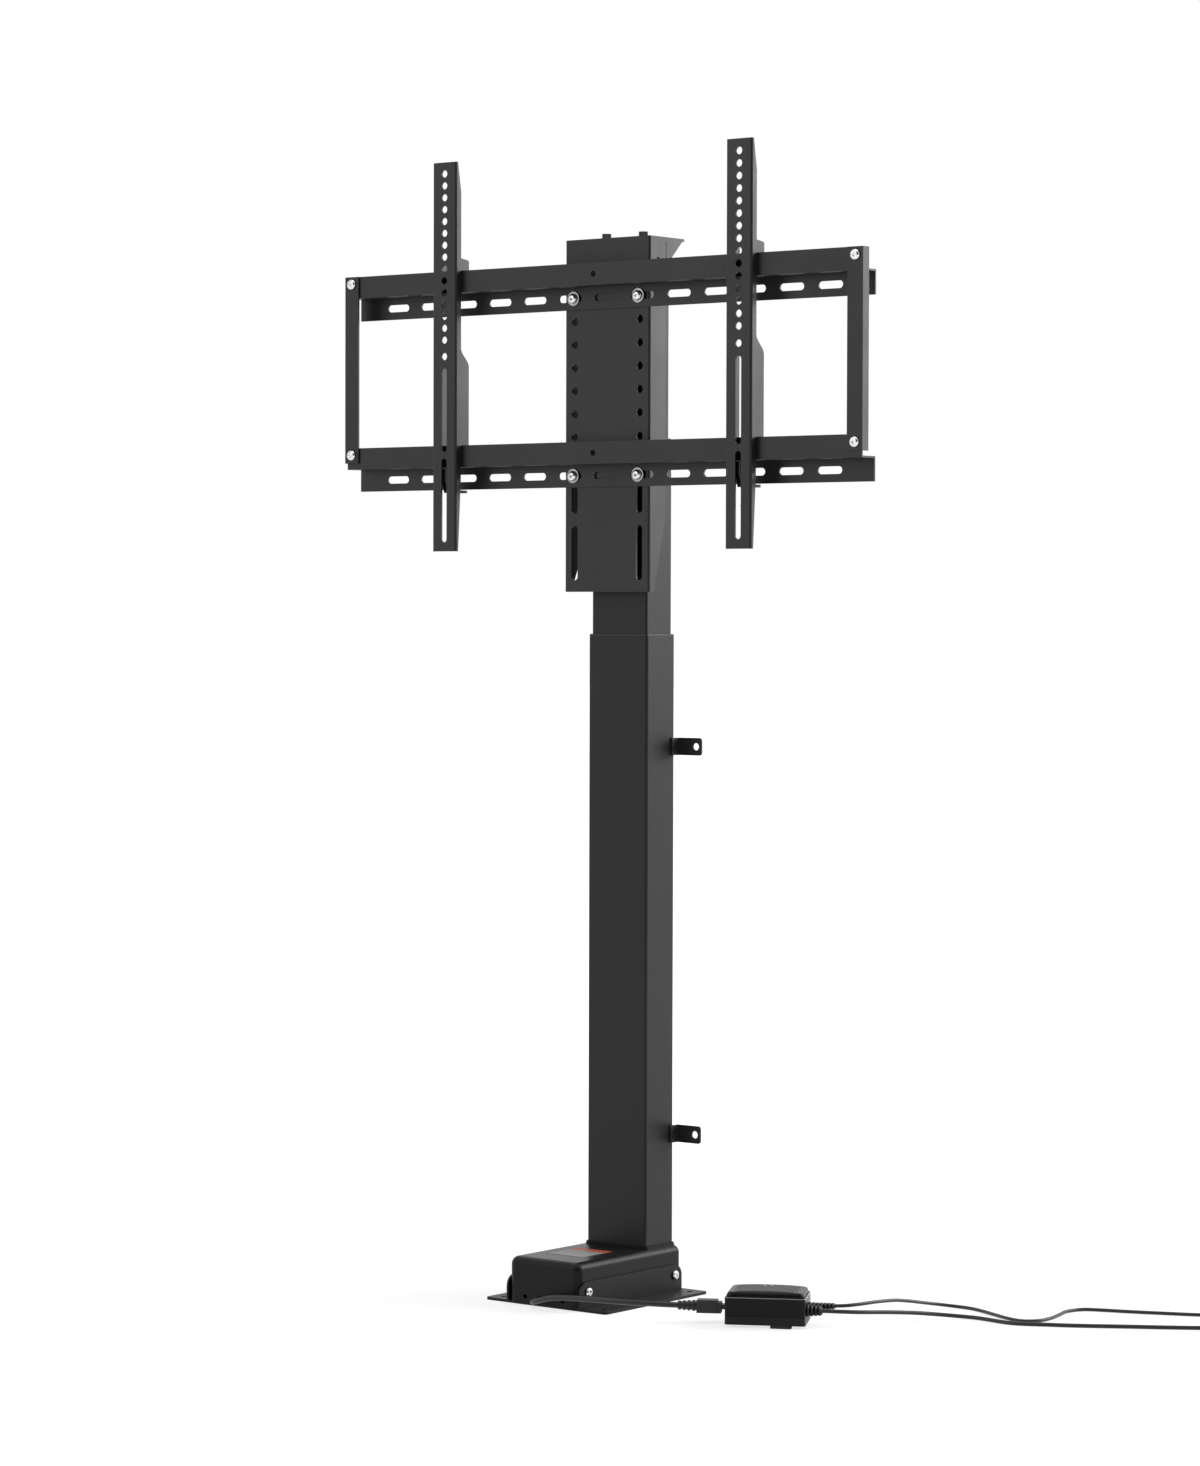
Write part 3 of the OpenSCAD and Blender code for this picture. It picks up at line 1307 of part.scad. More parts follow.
// Board on four pillars, with a transformer, two capacitors and two relays
module control_board() {
    x = board_l / 2;
    y = board_d / 2;
    floor_z = foot_h + box_wall;
    top = floor_z + board_rise + board_t - e;
    color(board_green) at_box() {
        for (i = [-1, 1], j = [-1, 1]) translate([i * (x - 5), j * (y - 5), floor_z])
            cylinder(r = 2.5, h = board_rise);
        slab(-x, x, -y, y, floor_z + board_rise - e, floor_z + board_rise + board_t);
        slab(-12, 10, -14, 10, top, top + 15.4);
        for (i = [16, 26]) translate([i, 14, top]) cylinder(r = 4, h = 12);
        for (i = [-32, -20]) slab(i, i + 9, 8, 20, top, top + 9.4);
    }
}

// Plug-in connector with a lower shoulder near the box, a nose into the socket and a strain relief
module lead_connector() {
    w = connector_w / 2;
    step = -connector_gap - connector_step;
    color(black_gloss) at_box() translate([-box_l / 2, 0, socket_z]) {
        slab(-connector_l, step, -w, w, -w, w);
        slab(step - e, -connector_gap, -w + 0.5, w - 0.5, -w, w - connector_drop);
        slab(-connector_gap - e, 5, -w + 1.4, w - 1.4, -connector_nose_h / 2, connector_nose_h / 2);
        translate([-connector_l - lead_relief_l, 0, 0]) ribbed_relief(lead_relief_l + e, 4.8, 5.8, 4);
    }
}

module cord_reliefs() {
    color(black_gloss) at_box() {
        translate([box_l / 2, power_relief_y, relief_z]) {
            ribbed_relief(power_relief_l, 6.2, 5.2, 4);
            rotate([0, -90, 0]) translate([0, 0, -e]) cylinder(r = relief_neck_r, h = box_wall + 1.5);
        }
        translate([box_l / 2, sensor_relief_y, relief_z]) {
            translate([relief_step, 0, 0]) rotate([0, -sensor_relief_rise, 0])
                ribbed_relief(sensor_relief_l, 5.6, 3.3, 7);
            rotate([0, -90, 0]) translate([0, 0, -2 * relief_step]) cylinder(r = relief_neck_r, h = box_wall + 2.5);
        }
    }
}

// Cords, coils and what is on them

module motor_lead() {
    color(rubber) swept_tube(lead_points, lead_d, cord_sides, [0, -1, 0], heading_vector(box_angle));
}

module power_cord() {
    color(rubber) swept_tube(power_points, power_d, cord_sides, heading_vector(box_angle),
        heading_vector(power_heading));
}

module sensor_cord() {
    color(rubber) swept_tube(sensor_points, sensor_d, cord_sides,
        cos(sensor_relief_rise) * heading_vector(box_angle) + [0, 0, sin(sensor_relief_rise)],
        heading_vector(sensor_heading));
}

module coil(at, d, loops, heading) {
    swept_tube(coil_path(at, d, loops, heading), d, coil_sides, heading_vector(heading), heading_vector(heading));
}

module power_coil() {
    color(rubber) coil(power_coil_at, power_d, power_loops, power_heading);
}

module sensor_coil() {
    color(rubber) coil(sensor_coil_at, sensor_d, sensor_loops, sensor_heading);
}

// Band round the bundle of turns, on the side of the coil away from its ends
module coil_tie(at, d, loops, heading) {
    half = coil_pitch(d) * loops / 4 + d / 2 + part_gap;
    top = coil_z(d) + coil_pitch(d) + d / 2 + part_gap;
    translate([at[0], at[1], 0]) rotate(heading + 90) translate([coil_width * d / 2, 0, 0]) rotate([90, 0, 0])
        linear_extrude(tie_w, center = true) difference() {
            translate([-half - tie_t, 0]) square([2 * half + 2 * tie_t, top + tie_t]);
            translate([-half, tie_t - 0.05]) square([2 * half, top - tie_t + 0.05]);
        }
}

module coil_ties() {
    color(rubber) {
        coil_tie(power_coil_at, power_d, power_loops, power_heading);
        coil_tie(sensor_coil_at, sensor_d, sensor_loops, sensor_heading);
    }
}

module power_plug() {
    half = power_end[2];
    color(black_gloss) translate(power_end) rotate(power_heading) difference() {
        union() {
            ribbed_relief(plug_relief_l + e, power_d / 2 + 0.55, 5, 6);
            translate([plug_relief_l + plug_l / 2, 0, -half]) linear_extrude(2 * half)
                rounded_rect(plug_l, plug_w, 5);
        }
        for (y = [-1, 1]) translate([plug_relief_l + plug_l - 6, y * blade_gap / 2 - 0.8, -3.2])
            cube([6 + cut, 1.6, 6.4]);
    }
}

module plug_blades() {
    color(brass) translate(power_end) rotate(power_heading) for (y = [-1, 1])
        translate([plug_relief_l + plug_l - 5.9, y * blade_gap / 2 - 0.75, -3.15]) cube([5.9 + blade_l, 1.5, 6.3]);
}

module sensor_eye() {
    half = sensor_end[2];
    color(black_gloss) translate(sensor_end) rotate(sensor_heading) difference() {
        union() {
            ribbed_relief(eye_relief_l, sensor_d / 2 + 0.55, 3.6, 5);
            translate([eye_relief_l + eye_l / 2, 0, -half]) linear_extrude(2 * half) rounded_rect(eye_l, eye_w, 4);
        }
        translate([eye_relief_l + eye_l - 9, 0, half - 1]) cylinder(r = 4, h = 2);
    }
}

echo(power_coil_least_gap = least_gap(power_turns, power_d));
echo(sensor_coil_least_gap = least_gap(sensor_turns, sensor_d));
echo(lead_length = path_length(lead_points));
echo(power_length = path_length(power_points) + path_length(power_turns));
echo(sensor_length = path_length(sensor_points) + path_length(sensor_turns));

base_plate();
side_plates();
motor_cover();
cover_screws();
motor_can();
motor_end_cap();
gear_housing_lower();
gear_housing_upper();
gearbox_screws();
gearbox_bearings();
outer_tube();
outer_sleeve();
wall_tabs();
cable_grommet();
lower_spindle();
worm_wheel();
worm_shaft();
middle_tube();
middle_sleeve();
middle_glide_band();
middle_nut_block();
lower_nut();
gear_plate();
gear_posts();
drive_gear();
upper_spindle();
upper_gear();
inner_tube();
inner_glide_band();
inner_nut_block();
upper_nut();
inner_top_block();
tv_bracket();
bracket_screws();
upper_rail();
lower_rail();
end_bars();
end_bar_screws();
rail_bolts();
rail_washers();
rail_nuts();
left_arm();
right_arm();
left_arm_lock();
right_arm_lock();
box_tray();
box_lid();
box_feet();
control_board();
lead_connector();
motor_lead();
cord_reliefs();
power_cord();
power_coil();
power_plug();
plug_blades();
sensor_cord();
sensor_coil();
sensor_eye();
coil_ties();
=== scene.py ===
import json
import math

import bpy
import bmesh
from mathutils import Matrix, Vector


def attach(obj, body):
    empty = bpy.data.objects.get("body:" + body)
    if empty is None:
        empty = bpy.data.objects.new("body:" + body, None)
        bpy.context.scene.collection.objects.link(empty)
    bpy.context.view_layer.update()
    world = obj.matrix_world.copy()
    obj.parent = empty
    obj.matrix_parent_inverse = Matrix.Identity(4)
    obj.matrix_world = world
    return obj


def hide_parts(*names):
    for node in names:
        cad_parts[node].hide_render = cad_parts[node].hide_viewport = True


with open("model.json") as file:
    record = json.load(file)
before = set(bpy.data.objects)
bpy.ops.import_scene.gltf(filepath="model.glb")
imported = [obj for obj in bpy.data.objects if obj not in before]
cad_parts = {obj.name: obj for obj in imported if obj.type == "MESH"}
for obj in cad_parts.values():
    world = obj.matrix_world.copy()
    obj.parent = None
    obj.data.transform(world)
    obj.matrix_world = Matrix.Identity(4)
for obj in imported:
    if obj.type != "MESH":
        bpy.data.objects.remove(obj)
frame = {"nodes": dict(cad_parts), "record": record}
scene = bpy.context.scene

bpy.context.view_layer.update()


def add_object(name, data):
    obj = bpy.data.objects.new(name, data)
    scene.collection.objects.link(obj)
    return obj


# Camera, solved from the photo: turned about the column, then shifted aside and raised

LENS_MM, SENSOR_MM = 104.46, 36
CLIP_START, CLIP_END = 0.05, 100
AZIMUTH, PITCH, ROLL = math.radians(37.96), math.radians(1.62), math.radians(0.15)
DISTANCE, HEIGHT, ASIDE = 4.625, 0.739, -0.0342

scene.view_settings.view_transform = "Standard"

cam_data = bpy.data.cameras.new("camera")
cam_data.lens = LENS_MM
cam_data.sensor_width = SENSOR_MM
cam_data.clip_start = CLIP_START
cam_data.clip_end = CLIP_END
camera = add_object("camera", cam_data)
ahead = Vector((-math.sin(AZIMUTH), math.cos(AZIMUTH), 0))
level = Vector((math.cos(AZIMUTH), math.sin(AZIMUTH), 0))
forward = Vector((-math.sin(AZIMUTH) * math.cos(PITCH), math.cos(AZIMUTH) * math.cos(PITCH), -math.sin(PITCH)))
upward = level.cross(forward)
right = math.cos(ROLL) * level + math.sin(ROLL) * upward
up = -math.sin(ROLL) * level + math.cos(ROLL) * upward
place = -DISTANCE * ahead + ASIDE * level + Vector((0, 0, HEIGHT))
turn = Matrix((right, up, -forward)).transposed().to_4x4()
camera.matrix_world = Matrix.Translation(place) @ turn
scene.camera = camera


# Cords: the same routes as in the CAD source, in metres

def blend_point(p, i, t):
    """Point at t between p[i] and p[i + 1] on a smooth curve through all of p."""
    n = len(p) - 1
    a, b, c, d = p[max(0, i - 1)], p[i], p[min(n, i + 1)], p[min(n, i + 2)]
    return 0.5 * (2 * b + (c - a) * t + (2 * a - 5 * b + 4 * c - d) * t * t
                  + (3 * b - a - 3 * c + d) * t ** 3)


def curve_points(p, count):
    n = len(p) - 1
    found = []
    for k in range(count):
        u = k * n / (count - 1)
        i = min(n - 1, int(u))
        found.append(blend_point(p, i, u - i))
    return found


def in_metres(points):
    return [Vector(p) / 1000 for p in points]


BOX_AT, BOX_ANGLE = Vector((0.248, -0.0875, 0)), math.radians(29)
BOX_L, BOX_D = 0.084, 0.055
BOX_FRAME = Matrix.Translation(BOX_AT) @ Matrix.Rotation(BOX_ANGLE, 4, "Z")


def from_box(x, y, z):
    """World point of a point that is given from the control box's middle at the floor."""
    return BOX_FRAME @ Vector((x, y, z))


# A coil's width at the middle of its turns, in cord diameters, the space between the turns, and the thickness
# of the tie under it
COIL_WIDTH, COIL_SPACE, TIE_T = 11.5, 0.0009, 0.0008
COIL_RINGS = 48


def coil_points(at, d, loops, heading, rings):
    """Two piled layers, spiralling in below and out again above."""
    pitch_d = d + COIL_SPACE
    outer = COIL_WIDTH * d / 2 + pitch_d * loops / 4
    found = []
    for k in range(loops * rings + 1):
        t = k / rings
        r = outer - pitch_d * (t if t < loops / 2 else loops - t)
        a = heading - math.pi / 2 + 2 * math.pi * t
        s = t - loops / 2
        rise = 0 if s <= -0.25 else 1 if s >= 0.25 else 0.5 - 0.5 * math.cos(2 * math.pi * (s + 0.25))
        z = TIE_T + d / 2 + pitch_d * rise
        found.append(Vector((at[0] + r * math.cos(a), at[1] + r * math.sin(a), z)))
    way = Vector((math.cos(heading), math.sin(heading), 0))
    return [found[0] - d * way] + found + [found[-1] + d * way], way


LEAD_D, POWER_D, SENSOR_D = 0.006, 0.0043, 0.0038
POWER_HEADING, SENSOR_HEADING = math.radians(33), math.radians(22)
POWER_LOOPS, SENSOR_LOOPS = 6, 5
# Heights of the cords' ends at the box, reach of the reliefs there, and slope of the sensor cord's relief
END_Z, POWER_RELIEF, SENSOR_RELIEF, SENSOR_RISE = 0.017, 0.016, 0.027, math.radians(5)
LEAD_END, LEAD_END_Z, SENSOR_GAP = 0.052, 0.0175, 0.0006
POWER_ASIDE, SENSOR_ASIDE = -0.0095, 0.0105
# Straight run before a coil, in cord diameters, and points for each stretch of a route
COIL_RUN, LEAD_STEPS, CORD_STEPS = 3, 6, 5

lead_route = in_metres([
    (-8, -154, 7), (-7, -159.5, 6.6), (-3.5, -164.5, 7.5), (3, -167.5, 9.2), (13, -169, 12),
    (23, -169.5, 14.6), (35.5, -169, 16.2), (48.5, -168, 17.2), (61, -166.5, 17.7), (74, -165, 18),
    (87, -163, 18), (100, -160.3, 18.1), (113, -156.8, 18.1), (126, -152, 18), (139, -146.5, 17.9),
    (152, -140.3, 17.6)])
lead_route.append(from_box(-BOX_L / 2 - LEAD_END, 0, LEAD_END_Z))
power_coil, power_way = coil_points((0.644, 0.223), POWER_D, POWER_LOOPS, POWER_HEADING, COIL_RINGS)
sensor_coil, sensor_way = coil_points((0.606, 0.284), SENSOR_D, SENSOR_LOOPS, SENSOR_HEADING, COIL_RINGS)
power_route = [from_box(BOX_L / 2 + POWER_RELIEF, POWER_ASIDE, END_Z)] + in_metres([
    (319, -57, 16.5), (331, -40, 15), (340, -17, 13), (348, 4, 11), (357, 26, 8.5), (367, 47, 5.5),
    (381, 63, 3.2), (400, 71, 2.3), (418, 70, 2.2), (436, 67, 2.2), (452, 67, 2.2), (467, 73, 2.2),
    (482, 81, 2.2), (498, 89, 2.2), (514, 98, 2.2), (530, 108, 2.2), (558, 126, 2.2), (589, 145, 2.2),
    (620, 166, 2.2)])
power_route += [power_coil[0] - COIL_RUN * POWER_D * power_way, power_coil[0]]
sensor_route = [from_box(BOX_L / 2 + SENSOR_GAP + SENSOR_RELIEF * math.cos(SENSOR_RISE), SENSOR_ASIDE,
                         END_Z + SENSOR_RELIEF * math.sin(SENSOR_RISE))]
sensor_route += in_metres([
    (313, -38, 19.8), (319.5, -22, 20), (323, -4, 20), (324.5, 16, 19), (325, 38, 17), (327, 60, 13.5),
    (328, 81, 9.5), (332, 100, 6), (340, 113, 3.5), (352, 120, 2.2), (367, 119, 2), (385, 112, 2),
    (407, 101, 2), (430, 90, 2), (449, 86, 2), (462, 97, 2), (464, 119, 2), (459, 145, 2), (454, 168, 2),
    (461, 189, 2), (479, 198, 2), (508, 208, 2), (540, 221, 2), (576, 237, 2)])
sensor_route += [sensor_coil[0] - COIL_RUN * SENSOR_D * sensor_way, sensor_coil[0]]


def line_curve(name, points, d):
    """Round line of diameter d through the points."""
    data = bpy.data.curves.new(name, "CURVE")
    data.dimensions = "3D"
    data.bevel_depth = 1
    data.bevel_resolution = 5
    data.use_fill_caps = True
    spline = data.splines.new("POLY")
    spline.points.add(len(points) - 1)
    for q, p in zip(spline.points, points):
        q.co = (*p, 1)
        q.radius = d / 2
    return add_object(name, data)


lead_line = curve_points(lead_route, LEAD_STEPS * (len(lead_route) - 1) + 1)
power_line = curve_points(power_route, CORD_STEPS * (len(power_route) - 1) + 1) + power_coil[1:]
sensor_line = curve_points(sensor_route, CORD_STEPS * (len(sensor_route) - 1) + 1) + sensor_coil[1:]

lead = line_curve("motor_lead_cord", lead_line, LEAD_D)
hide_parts("motor_lead")
mains = line_curve("mains_cord", power_line, POWER_D)
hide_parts("power_cord", "power_coil")
sensor = line_curve("infrared_cord", sensor_line, SENSOR_D)
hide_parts("sensor_cord", "sensor_coil")
for piece in (lead, mains, sensor):
    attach(piece, "base")


# Materials

WAVE_DETAIL, GRAIN_DETAIL, BUMP_DEPTH = 2.0, 4.0, 0.0002
PATCH_SCALE, PATCH_DETAIL, PATCH_LOW, PATCH_HIGH = 14, 5, 0.3, 0.7


def noise_node(nt, coords, scale, detail):
    noise = nt.nodes.new("ShaderNodeTexNoise")
    noise.inputs["Scale"].default_value = scale
    noise.inputs["Detail"].default_value = detail
    nt.links.new(coords.outputs["Object"], noise.inputs["Vector"])
    return noise.outputs["Fac"]


def map_range(nt, value, from_min, from_max, to_min, to_max):
    node = nt.nodes.new("ShaderNodeMapRange")
    node.inputs["From Min"].default_value = from_min
    node.inputs["From Max"].default_value = from_max
    node.inputs["To Min"].default_value = to_min
    node.inputs["To Max"].default_value = to_max
    nt.links.new(value, node.inputs["Value"])
    return node


def material(name, color, rough, metal=0.0, specular=0.5, coat=0.0, coat_rough=0.1,
             grain=0.0, grain_scale=900.0, wave=0.0, wave_scale=60.0, rough_var=0.0):
    """Colour with a fine grain, a slow wave and patches of roughness, each where its strength isn't 0."""
    m = bpy.data.materials.new(name)
    m.use_nodes = True
    nt = m.node_tree
    bsdf = nt.nodes["Principled BSDF"]
    bsdf.inputs["Base Color"].default_value = (*color, 1)
    bsdf.inputs["Roughness"].default_value = rough
    bsdf.inputs["Metallic"].default_value = metal
    bsdf.inputs["Specular IOR Level"].default_value = specular
    bsdf.inputs["Coat Weight"].default_value = coat
    bsdf.inputs["Coat Roughness"].default_value = coat_rough
    coords = nt.nodes.new("ShaderNodeTexCoord")
    last = None
    for strength, scale, detail in ((wave, wave_scale, WAVE_DETAIL), (grain, grain_scale, GRAIN_DETAIL)):
        if not strength:
            continue
        height = noise_node(nt, coords, scale, detail)
        bump = nt.nodes.new("ShaderNodeBump")
        bump.inputs["Strength"].default_value = strength
        bump.inputs["Distance"].default_value = BUMP_DEPTH
        nt.links.new(height, bump.inputs["Height"])
        if last:
            nt.links.new(last.outputs["Normal"], bump.inputs["Normal"])
        last = bump
    if last:
        nt.links.new(last.outputs["Normal"], bsdf.inputs["Normal"])
    if rough_var:
        patches = noise_node(nt, coords, PATCH_SCALE, PATCH_DETAIL)
        spread = map_range(nt, patches, PATCH_LOW, PATCH_HIGH, rough - rough_var, rough + rough_var)
        nt.links.new(spread.outputs["Result"], bsdf.inputs["Roughness"])
    return m


MATERIALS = {name: material(name, *look, **more) for name, look, more in (
    ("powder_coat", ((0.022, 0.022, 0.023), 0.42),
     dict(grain=0.25, grain_scale=1600, rough_var=0.04, specular=0.4)),
    ("gloss_black_paint", ((0.01, 0.01, 0.011), 0.36),
     dict(coat=0.06, coat_rough=0.18, specular=0.16, wave=0.2, wave_scale=180, rough_var=0.03)),
    ("column_paint", ((0.02, 0.02, 0.021), 0.38),
     dict(grain=0.2, grain_scale=1500, rough_var=0.03, specular=0.28)),
    ("black_oxide", ((0.03, 0.03, 0.032), 0.35), dict(metal=0.7, grain=0.2, rough_var=0.05)),
    ("chrome", ((0.7, 0.7, 0.71), 0.13), dict(metal=1, grain=0.05, rough_var=0.04)),
    ("zinc_steel", ((0.55, 0.56, 0.58), 0.32), dict(metal=1, grain=0.1, rough_var=0.06)),
    ("ground_steel", ((0.5, 0.5, 0.52), 0.25), dict(metal=1, grain=0.1, rough_var=0.05)),
    ("brass", ((0.7, 0.52, 0.25), 0.28), dict(metal=1, grain=0.1, rough_var=0.05)),
    ("cast_metal", ((0.35, 0.36, 0.37), 0.55), dict(metal=0.8, grain=0.5, grain_scale=500, rough_var=0.08)),
    ("white_nylon", ((0.78, 0.76, 0.7), 0.45), dict(grain=0.15, rough_var=0.05)),
    ("black_plastic", ((0.02, 0.02, 0.021), 0.45), dict(grain=0.3, grain_scale=1800, rough_var=0.04)),
    ("box_plastic", ((0.014, 0.014, 0.015), 0.42),
     dict(grain=0.4, grain_scale=1500, rough_var=0.04, specular=0.25)),
    ("circuit_board", ((0.03, 0.16, 0.07), 0.35), dict(grain=0.1, rough_var=0.05)),
    ("cord_jacket", ((0.024, 0.024, 0.025), 0.36), dict(grain=0.2, grain_scale=1400, rough_var=0.04)),
    ("rubber", ((0.016, 0.016, 0.016), 0.62), dict(grain=0.4, grain_scale=1200, rough_var=0.05)),
    # From here on, finishes that a single piece has in place of its slot's own
    ("plate_paint", ((0.02, 0.02, 0.021), 0.42),
     dict(specular=0.2, grain=0.2, grain_scale=1600, rough_var=0.03)),
    ("tab_paint", ((0.022, 0.022, 0.023), 0.45), dict(grain=0.25, grain_scale=1600, rough_var=0.04)),
    ("lid_plastic", ((0.012, 0.012, 0.013), 0.3),
     dict(specular=0.16, grain=0.3, grain_scale=1500, rough_var=0.03)),
    ("washer_steel", ((0.3, 0.3, 0.31), 0.24), dict(metal=1, grain=0.1, rough_var=0.04)),
    ("sticker_grey", ((0.36, 0.36, 0.355), 0.5), dict(specular=0.2, grain=0.05, rough_var=0.04)),
    ("sticker_orange", ((0.58, 0.14, 0.07), 0.5), dict(specular=0.2, grain=0.05, rough_var=0.04)),
    # Lighter grey than the lid, with a full gloss coat: the grey is a painted highlight along the lid's
    # shoulder, the gloss is real
    ("shoulder_painted_highlight", ((0.2, 0.2, 0.205), 0.16), dict(coat=1.0, specular=1.0, grain=0.03, rough_var=0.02)),
    ("seam", ((0.003, 0.003, 0.003), 0.7), dict(specular=0.05, grain=0.1, rough_var=0.03)),
    ("lamp", ((0.75, 0.76, 0.74), 0.2), dict(coat=0.5, grain=0.05, rough_var=0.03)),
)}


def dress(obj, slot, finish=None):
    """Give a piece its slot's material, or another finish in its place."""
    obj.data.materials.clear()
    obj.data.materials.append(MATERIALS[finish or slot])


for piece in (lead, mains, sensor):
    dress(piece, "cord_jacket")


# CAD pieces keep their own shape, with their edges eased

EDGE = {"motor_cover": 0.0006, "base_plate": 0.0005, "side_plates": 0.0006, "wall_tabs": 0.0003,
        "outer_tube": 0.0002, "middle_tube": 0.0002, "inner_tube": 0.0002, "outer_sleeve": 0.0002,
        "middle_sleeve": 0.0002, "tv_bracket": 0.0005, "upper_rail": 0.0004, "lower_rail": 0.0004,
        "end_bars": 0.0004, "rail_washers": 0.0003, "left_arm": 0.0004, "right_arm": 0.0004,
        "box_tray": 0.0003, "box_lid": 0.0006, "lead_connector": 0.0008, "power_plug": 0.0012,
        "sensor_eye": 0.0012}
FINISH = {"base_plate": "plate_paint", "side_plates": "plate_paint", "wall_tabs": "tab_paint",
          "box_lid": "lid_plastic", "rail_washers": "washer_steel"}
WELD_GAP, FLAT_ANGLE, EDGE_ANGLE = 0.000005, math.radians(0.5), math.radians(35)
slots = {row["node"]: row["material_slot"] for row in frame["record"]["subparts"]}
for name, node in frame["nodes"].items():
    dress(node, slots[name], FINISH.get(name))
    if node.hide_render:
        continue
    weld = node.modifiers.new("weld", "WELD")
    weld.merge_threshold = WELD_GAP
    flat = node.modifiers.new("flat", "DECIMATE")
    flat.decimate_type = "DISSOLVE"
    flat.angle_limit = FLAT_ANGLE
    if name in EDGE:
        ease = node.modifiers.new("ease", "BEVEL")
        ease.width = EDGE[name]
        ease.segments = 2
        ease.limit_method = "ANGLE"
        ease.angle_limit = EDGE_ANGLE
        ease.harden_normals = False
    for polygon in node.data.polygons:
        polygon.use_smooth = True
    sharp = node.modifiers.new("shade", "WEIGHTED_NORMAL")
    sharp.keep_sharp = True


# Blank two-tone sticker on the cover's top

COVER_TOP, STICKER_SINK, STICKER_T = 0.051, 0.0001, 0.0002
STICKER_LEFT, STICKER_RIGHT = -0.026, 0.022
STICKER_FRONT, STICKER_SPLIT, STICKER_BACK = -0.112, -0.075, -0.06


def plate(name, front, back):
    """Flat piece of the sticker between two depths."""
    corners = [(STICKER_LEFT, front), (STICKER_RIGHT, front), (STICKER_RIGHT, back), (STICKER_LEFT, back)]
    verts = [(x, y, z) for z in (COVER_TOP - STICKER_SINK, COVER_TOP + STICKER_T) for x, y in corners]
    faces = [(3, 2, 1, 0), (4, 5, 6, 7)] + [(k, (k + 1) % 4, (k + 1) % 4 + 4, k + 4) for k in range(4)]
    mesh = bpy.data.meshes.new(name)
    mesh.from_pydata(verts, [], faces)
    return add_object(name, mesh)


for name, front, back in (("sticker_grey", STICKER_FRONT, STICKER_SPLIT),
                          ("sticker_orange", STICKER_SPLIT, STICKER_BACK)):
    piece = plate(name, front, back)
    dress(piece, "gloss_black_paint", name)
    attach(piece, "base")


# Fine ridges on the control box's crown

CROWN_TOP, ARCH_R = 0.0385, 0.364
RIDGES, RIDGE_FIRST_Y, RIDGE_PITCH, RIDGE_L, RIDGE_STEPS = 15, -0.0182, 0.0026, 0.066, 12
# Section of a ridge: offsets aside and up from the crown
RIDGE_SECTION = ((-0.0009, -0.00005), (-0.0003, 0.0001), (0.0003, 0.0001), (0.0009, -0.00005))


def crown_height(x):
    return CROWN_TOP - ARCH_R + math.sqrt(ARCH_R ** 2 - x ** 2)


ridges = bmesh.new()
for k in range(RIDGES):
    y = RIDGE_FIRST_Y + RIDGE_PITCH * k
    rows = []
    for i in range(RIDGE_STEPS + 1):
        x = -RIDGE_L / 2 + RIDGE_L * i / RIDGE_STEPS
        z = crown_height(x)
        rows.append([ridges.verts.new(BOX_FRAME @ Vector((x, y + dy, z + dz))) for dy, dz in RIDGE_SECTION])
    for a, b in zip(rows, rows[1:]):
        for j in range(4):
            ridges.faces.new((a[j], a[(j + 1) % 4], b[(j + 1) % 4], b[j]))
    ridges.faces.new(rows[0][::-1])
    ridges.faces.new(rows[-1])
bmesh.ops.recalc_face_normals(ridges, faces=ridges.faces)
mesh = bpy.data.meshes.new("lid_ridges")
ridges.to_mesh(mesh)
ridges.free()
piece = add_object("lid_ridges", mesh)
dress(piece, "box_plastic", "lid_plastic")
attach(piece, "base")


# Glossy shoulder edge with a painted highlight, and parting line round the box

BOX_R, CORNER_STEPS = 0.003, 6
SHOULDER_Z, SHOULDER_SINK, SHOULDER_R = 0.031, 0.0002, 0.0005
SEAM_Z, SEAM_SINK, SEAM_R = 0.012, 0.0001, 0.00025


def box_loop(z, sink):
    """Rounded outline of the box at height z, set into its walls, as world points."""
    half_l, half_d = BOX_L / 2 - sink, BOX_D / 2 - sink
    found = []
    for k, (sx, sy) in enumerate(((1, 1), (-1, 1), (-1, -1), (1, -1))):
        for i in range(CORNER_STEPS + 1):
            a = math.pi / 2 * (k + i / CORNER_STEPS)
            found.append(from_box(sx * (half_l - BOX_R) + BOX_R * math.cos(a),
                                  sy * (half_d - BOX_R) + BOX_R * math.sin(a), z))
    return found


def bead(name, z, sink, r, finish):
    obj = line_curve(name, box_loop(z, sink), 2 * r)
    obj.data.splines[0].use_cyclic_u = True
    obj.data.bevel_resolution = 3
    dress(obj, "box_plastic", finish)
    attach(obj, "base")


# The shoulder bead's lighter grey is a painted highlight; its gloss coat is real
bead("lid_shoulder", SHOULDER_Z, SHOULDER_SINK, SHOULDER_R, "shoulder_painted_highlight")
bead("box_seam", SEAM_Z, SEAM_SINK, SEAM_R, "seam")


# Two indicator lights on the crown

LAMP_X, LAMP_Y, LAMP_RISE, LAMP_HALF = (-0.0037, 0.0035), 0.0077, 0.0002, (0.0014, 0.0014, 0.0008)

lamps = bmesh.new()
for x in LAMP_X:
    spot = Matrix.Translation((x, LAMP_Y, crown_height(x) + LAMP_RISE)) @ Matrix.Diagonal((*LAMP_HALF, 1))
    bmesh.ops.create_uvsphere(lamps, u_segments=20, v_segments=10, radius=1, matrix=BOX_FRAME @ spot)
mesh = bpy.data.meshes.new("lid_lamps")
lamps.to_mesh(mesh)
lamps.free()
for polygon in mesh.polygons:
    polygon.use_smooth = True
piece = add_object("lid_lamps", mesh)
dress(piece, "box_plastic", "lamp")
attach(piece, "base")


# Floor

WHITE = (1, 1, 1, 1)
FLOOR_HALF, PAPER_TONE, PAPER_ROUGH = 30, 0.5, 0.9
# The floor's glow grows from its near value to 1 between these distances from the column
GLOW_NEAR, GLOW_FROM, GLOW_TO = 0.72, 0.5, 2.0


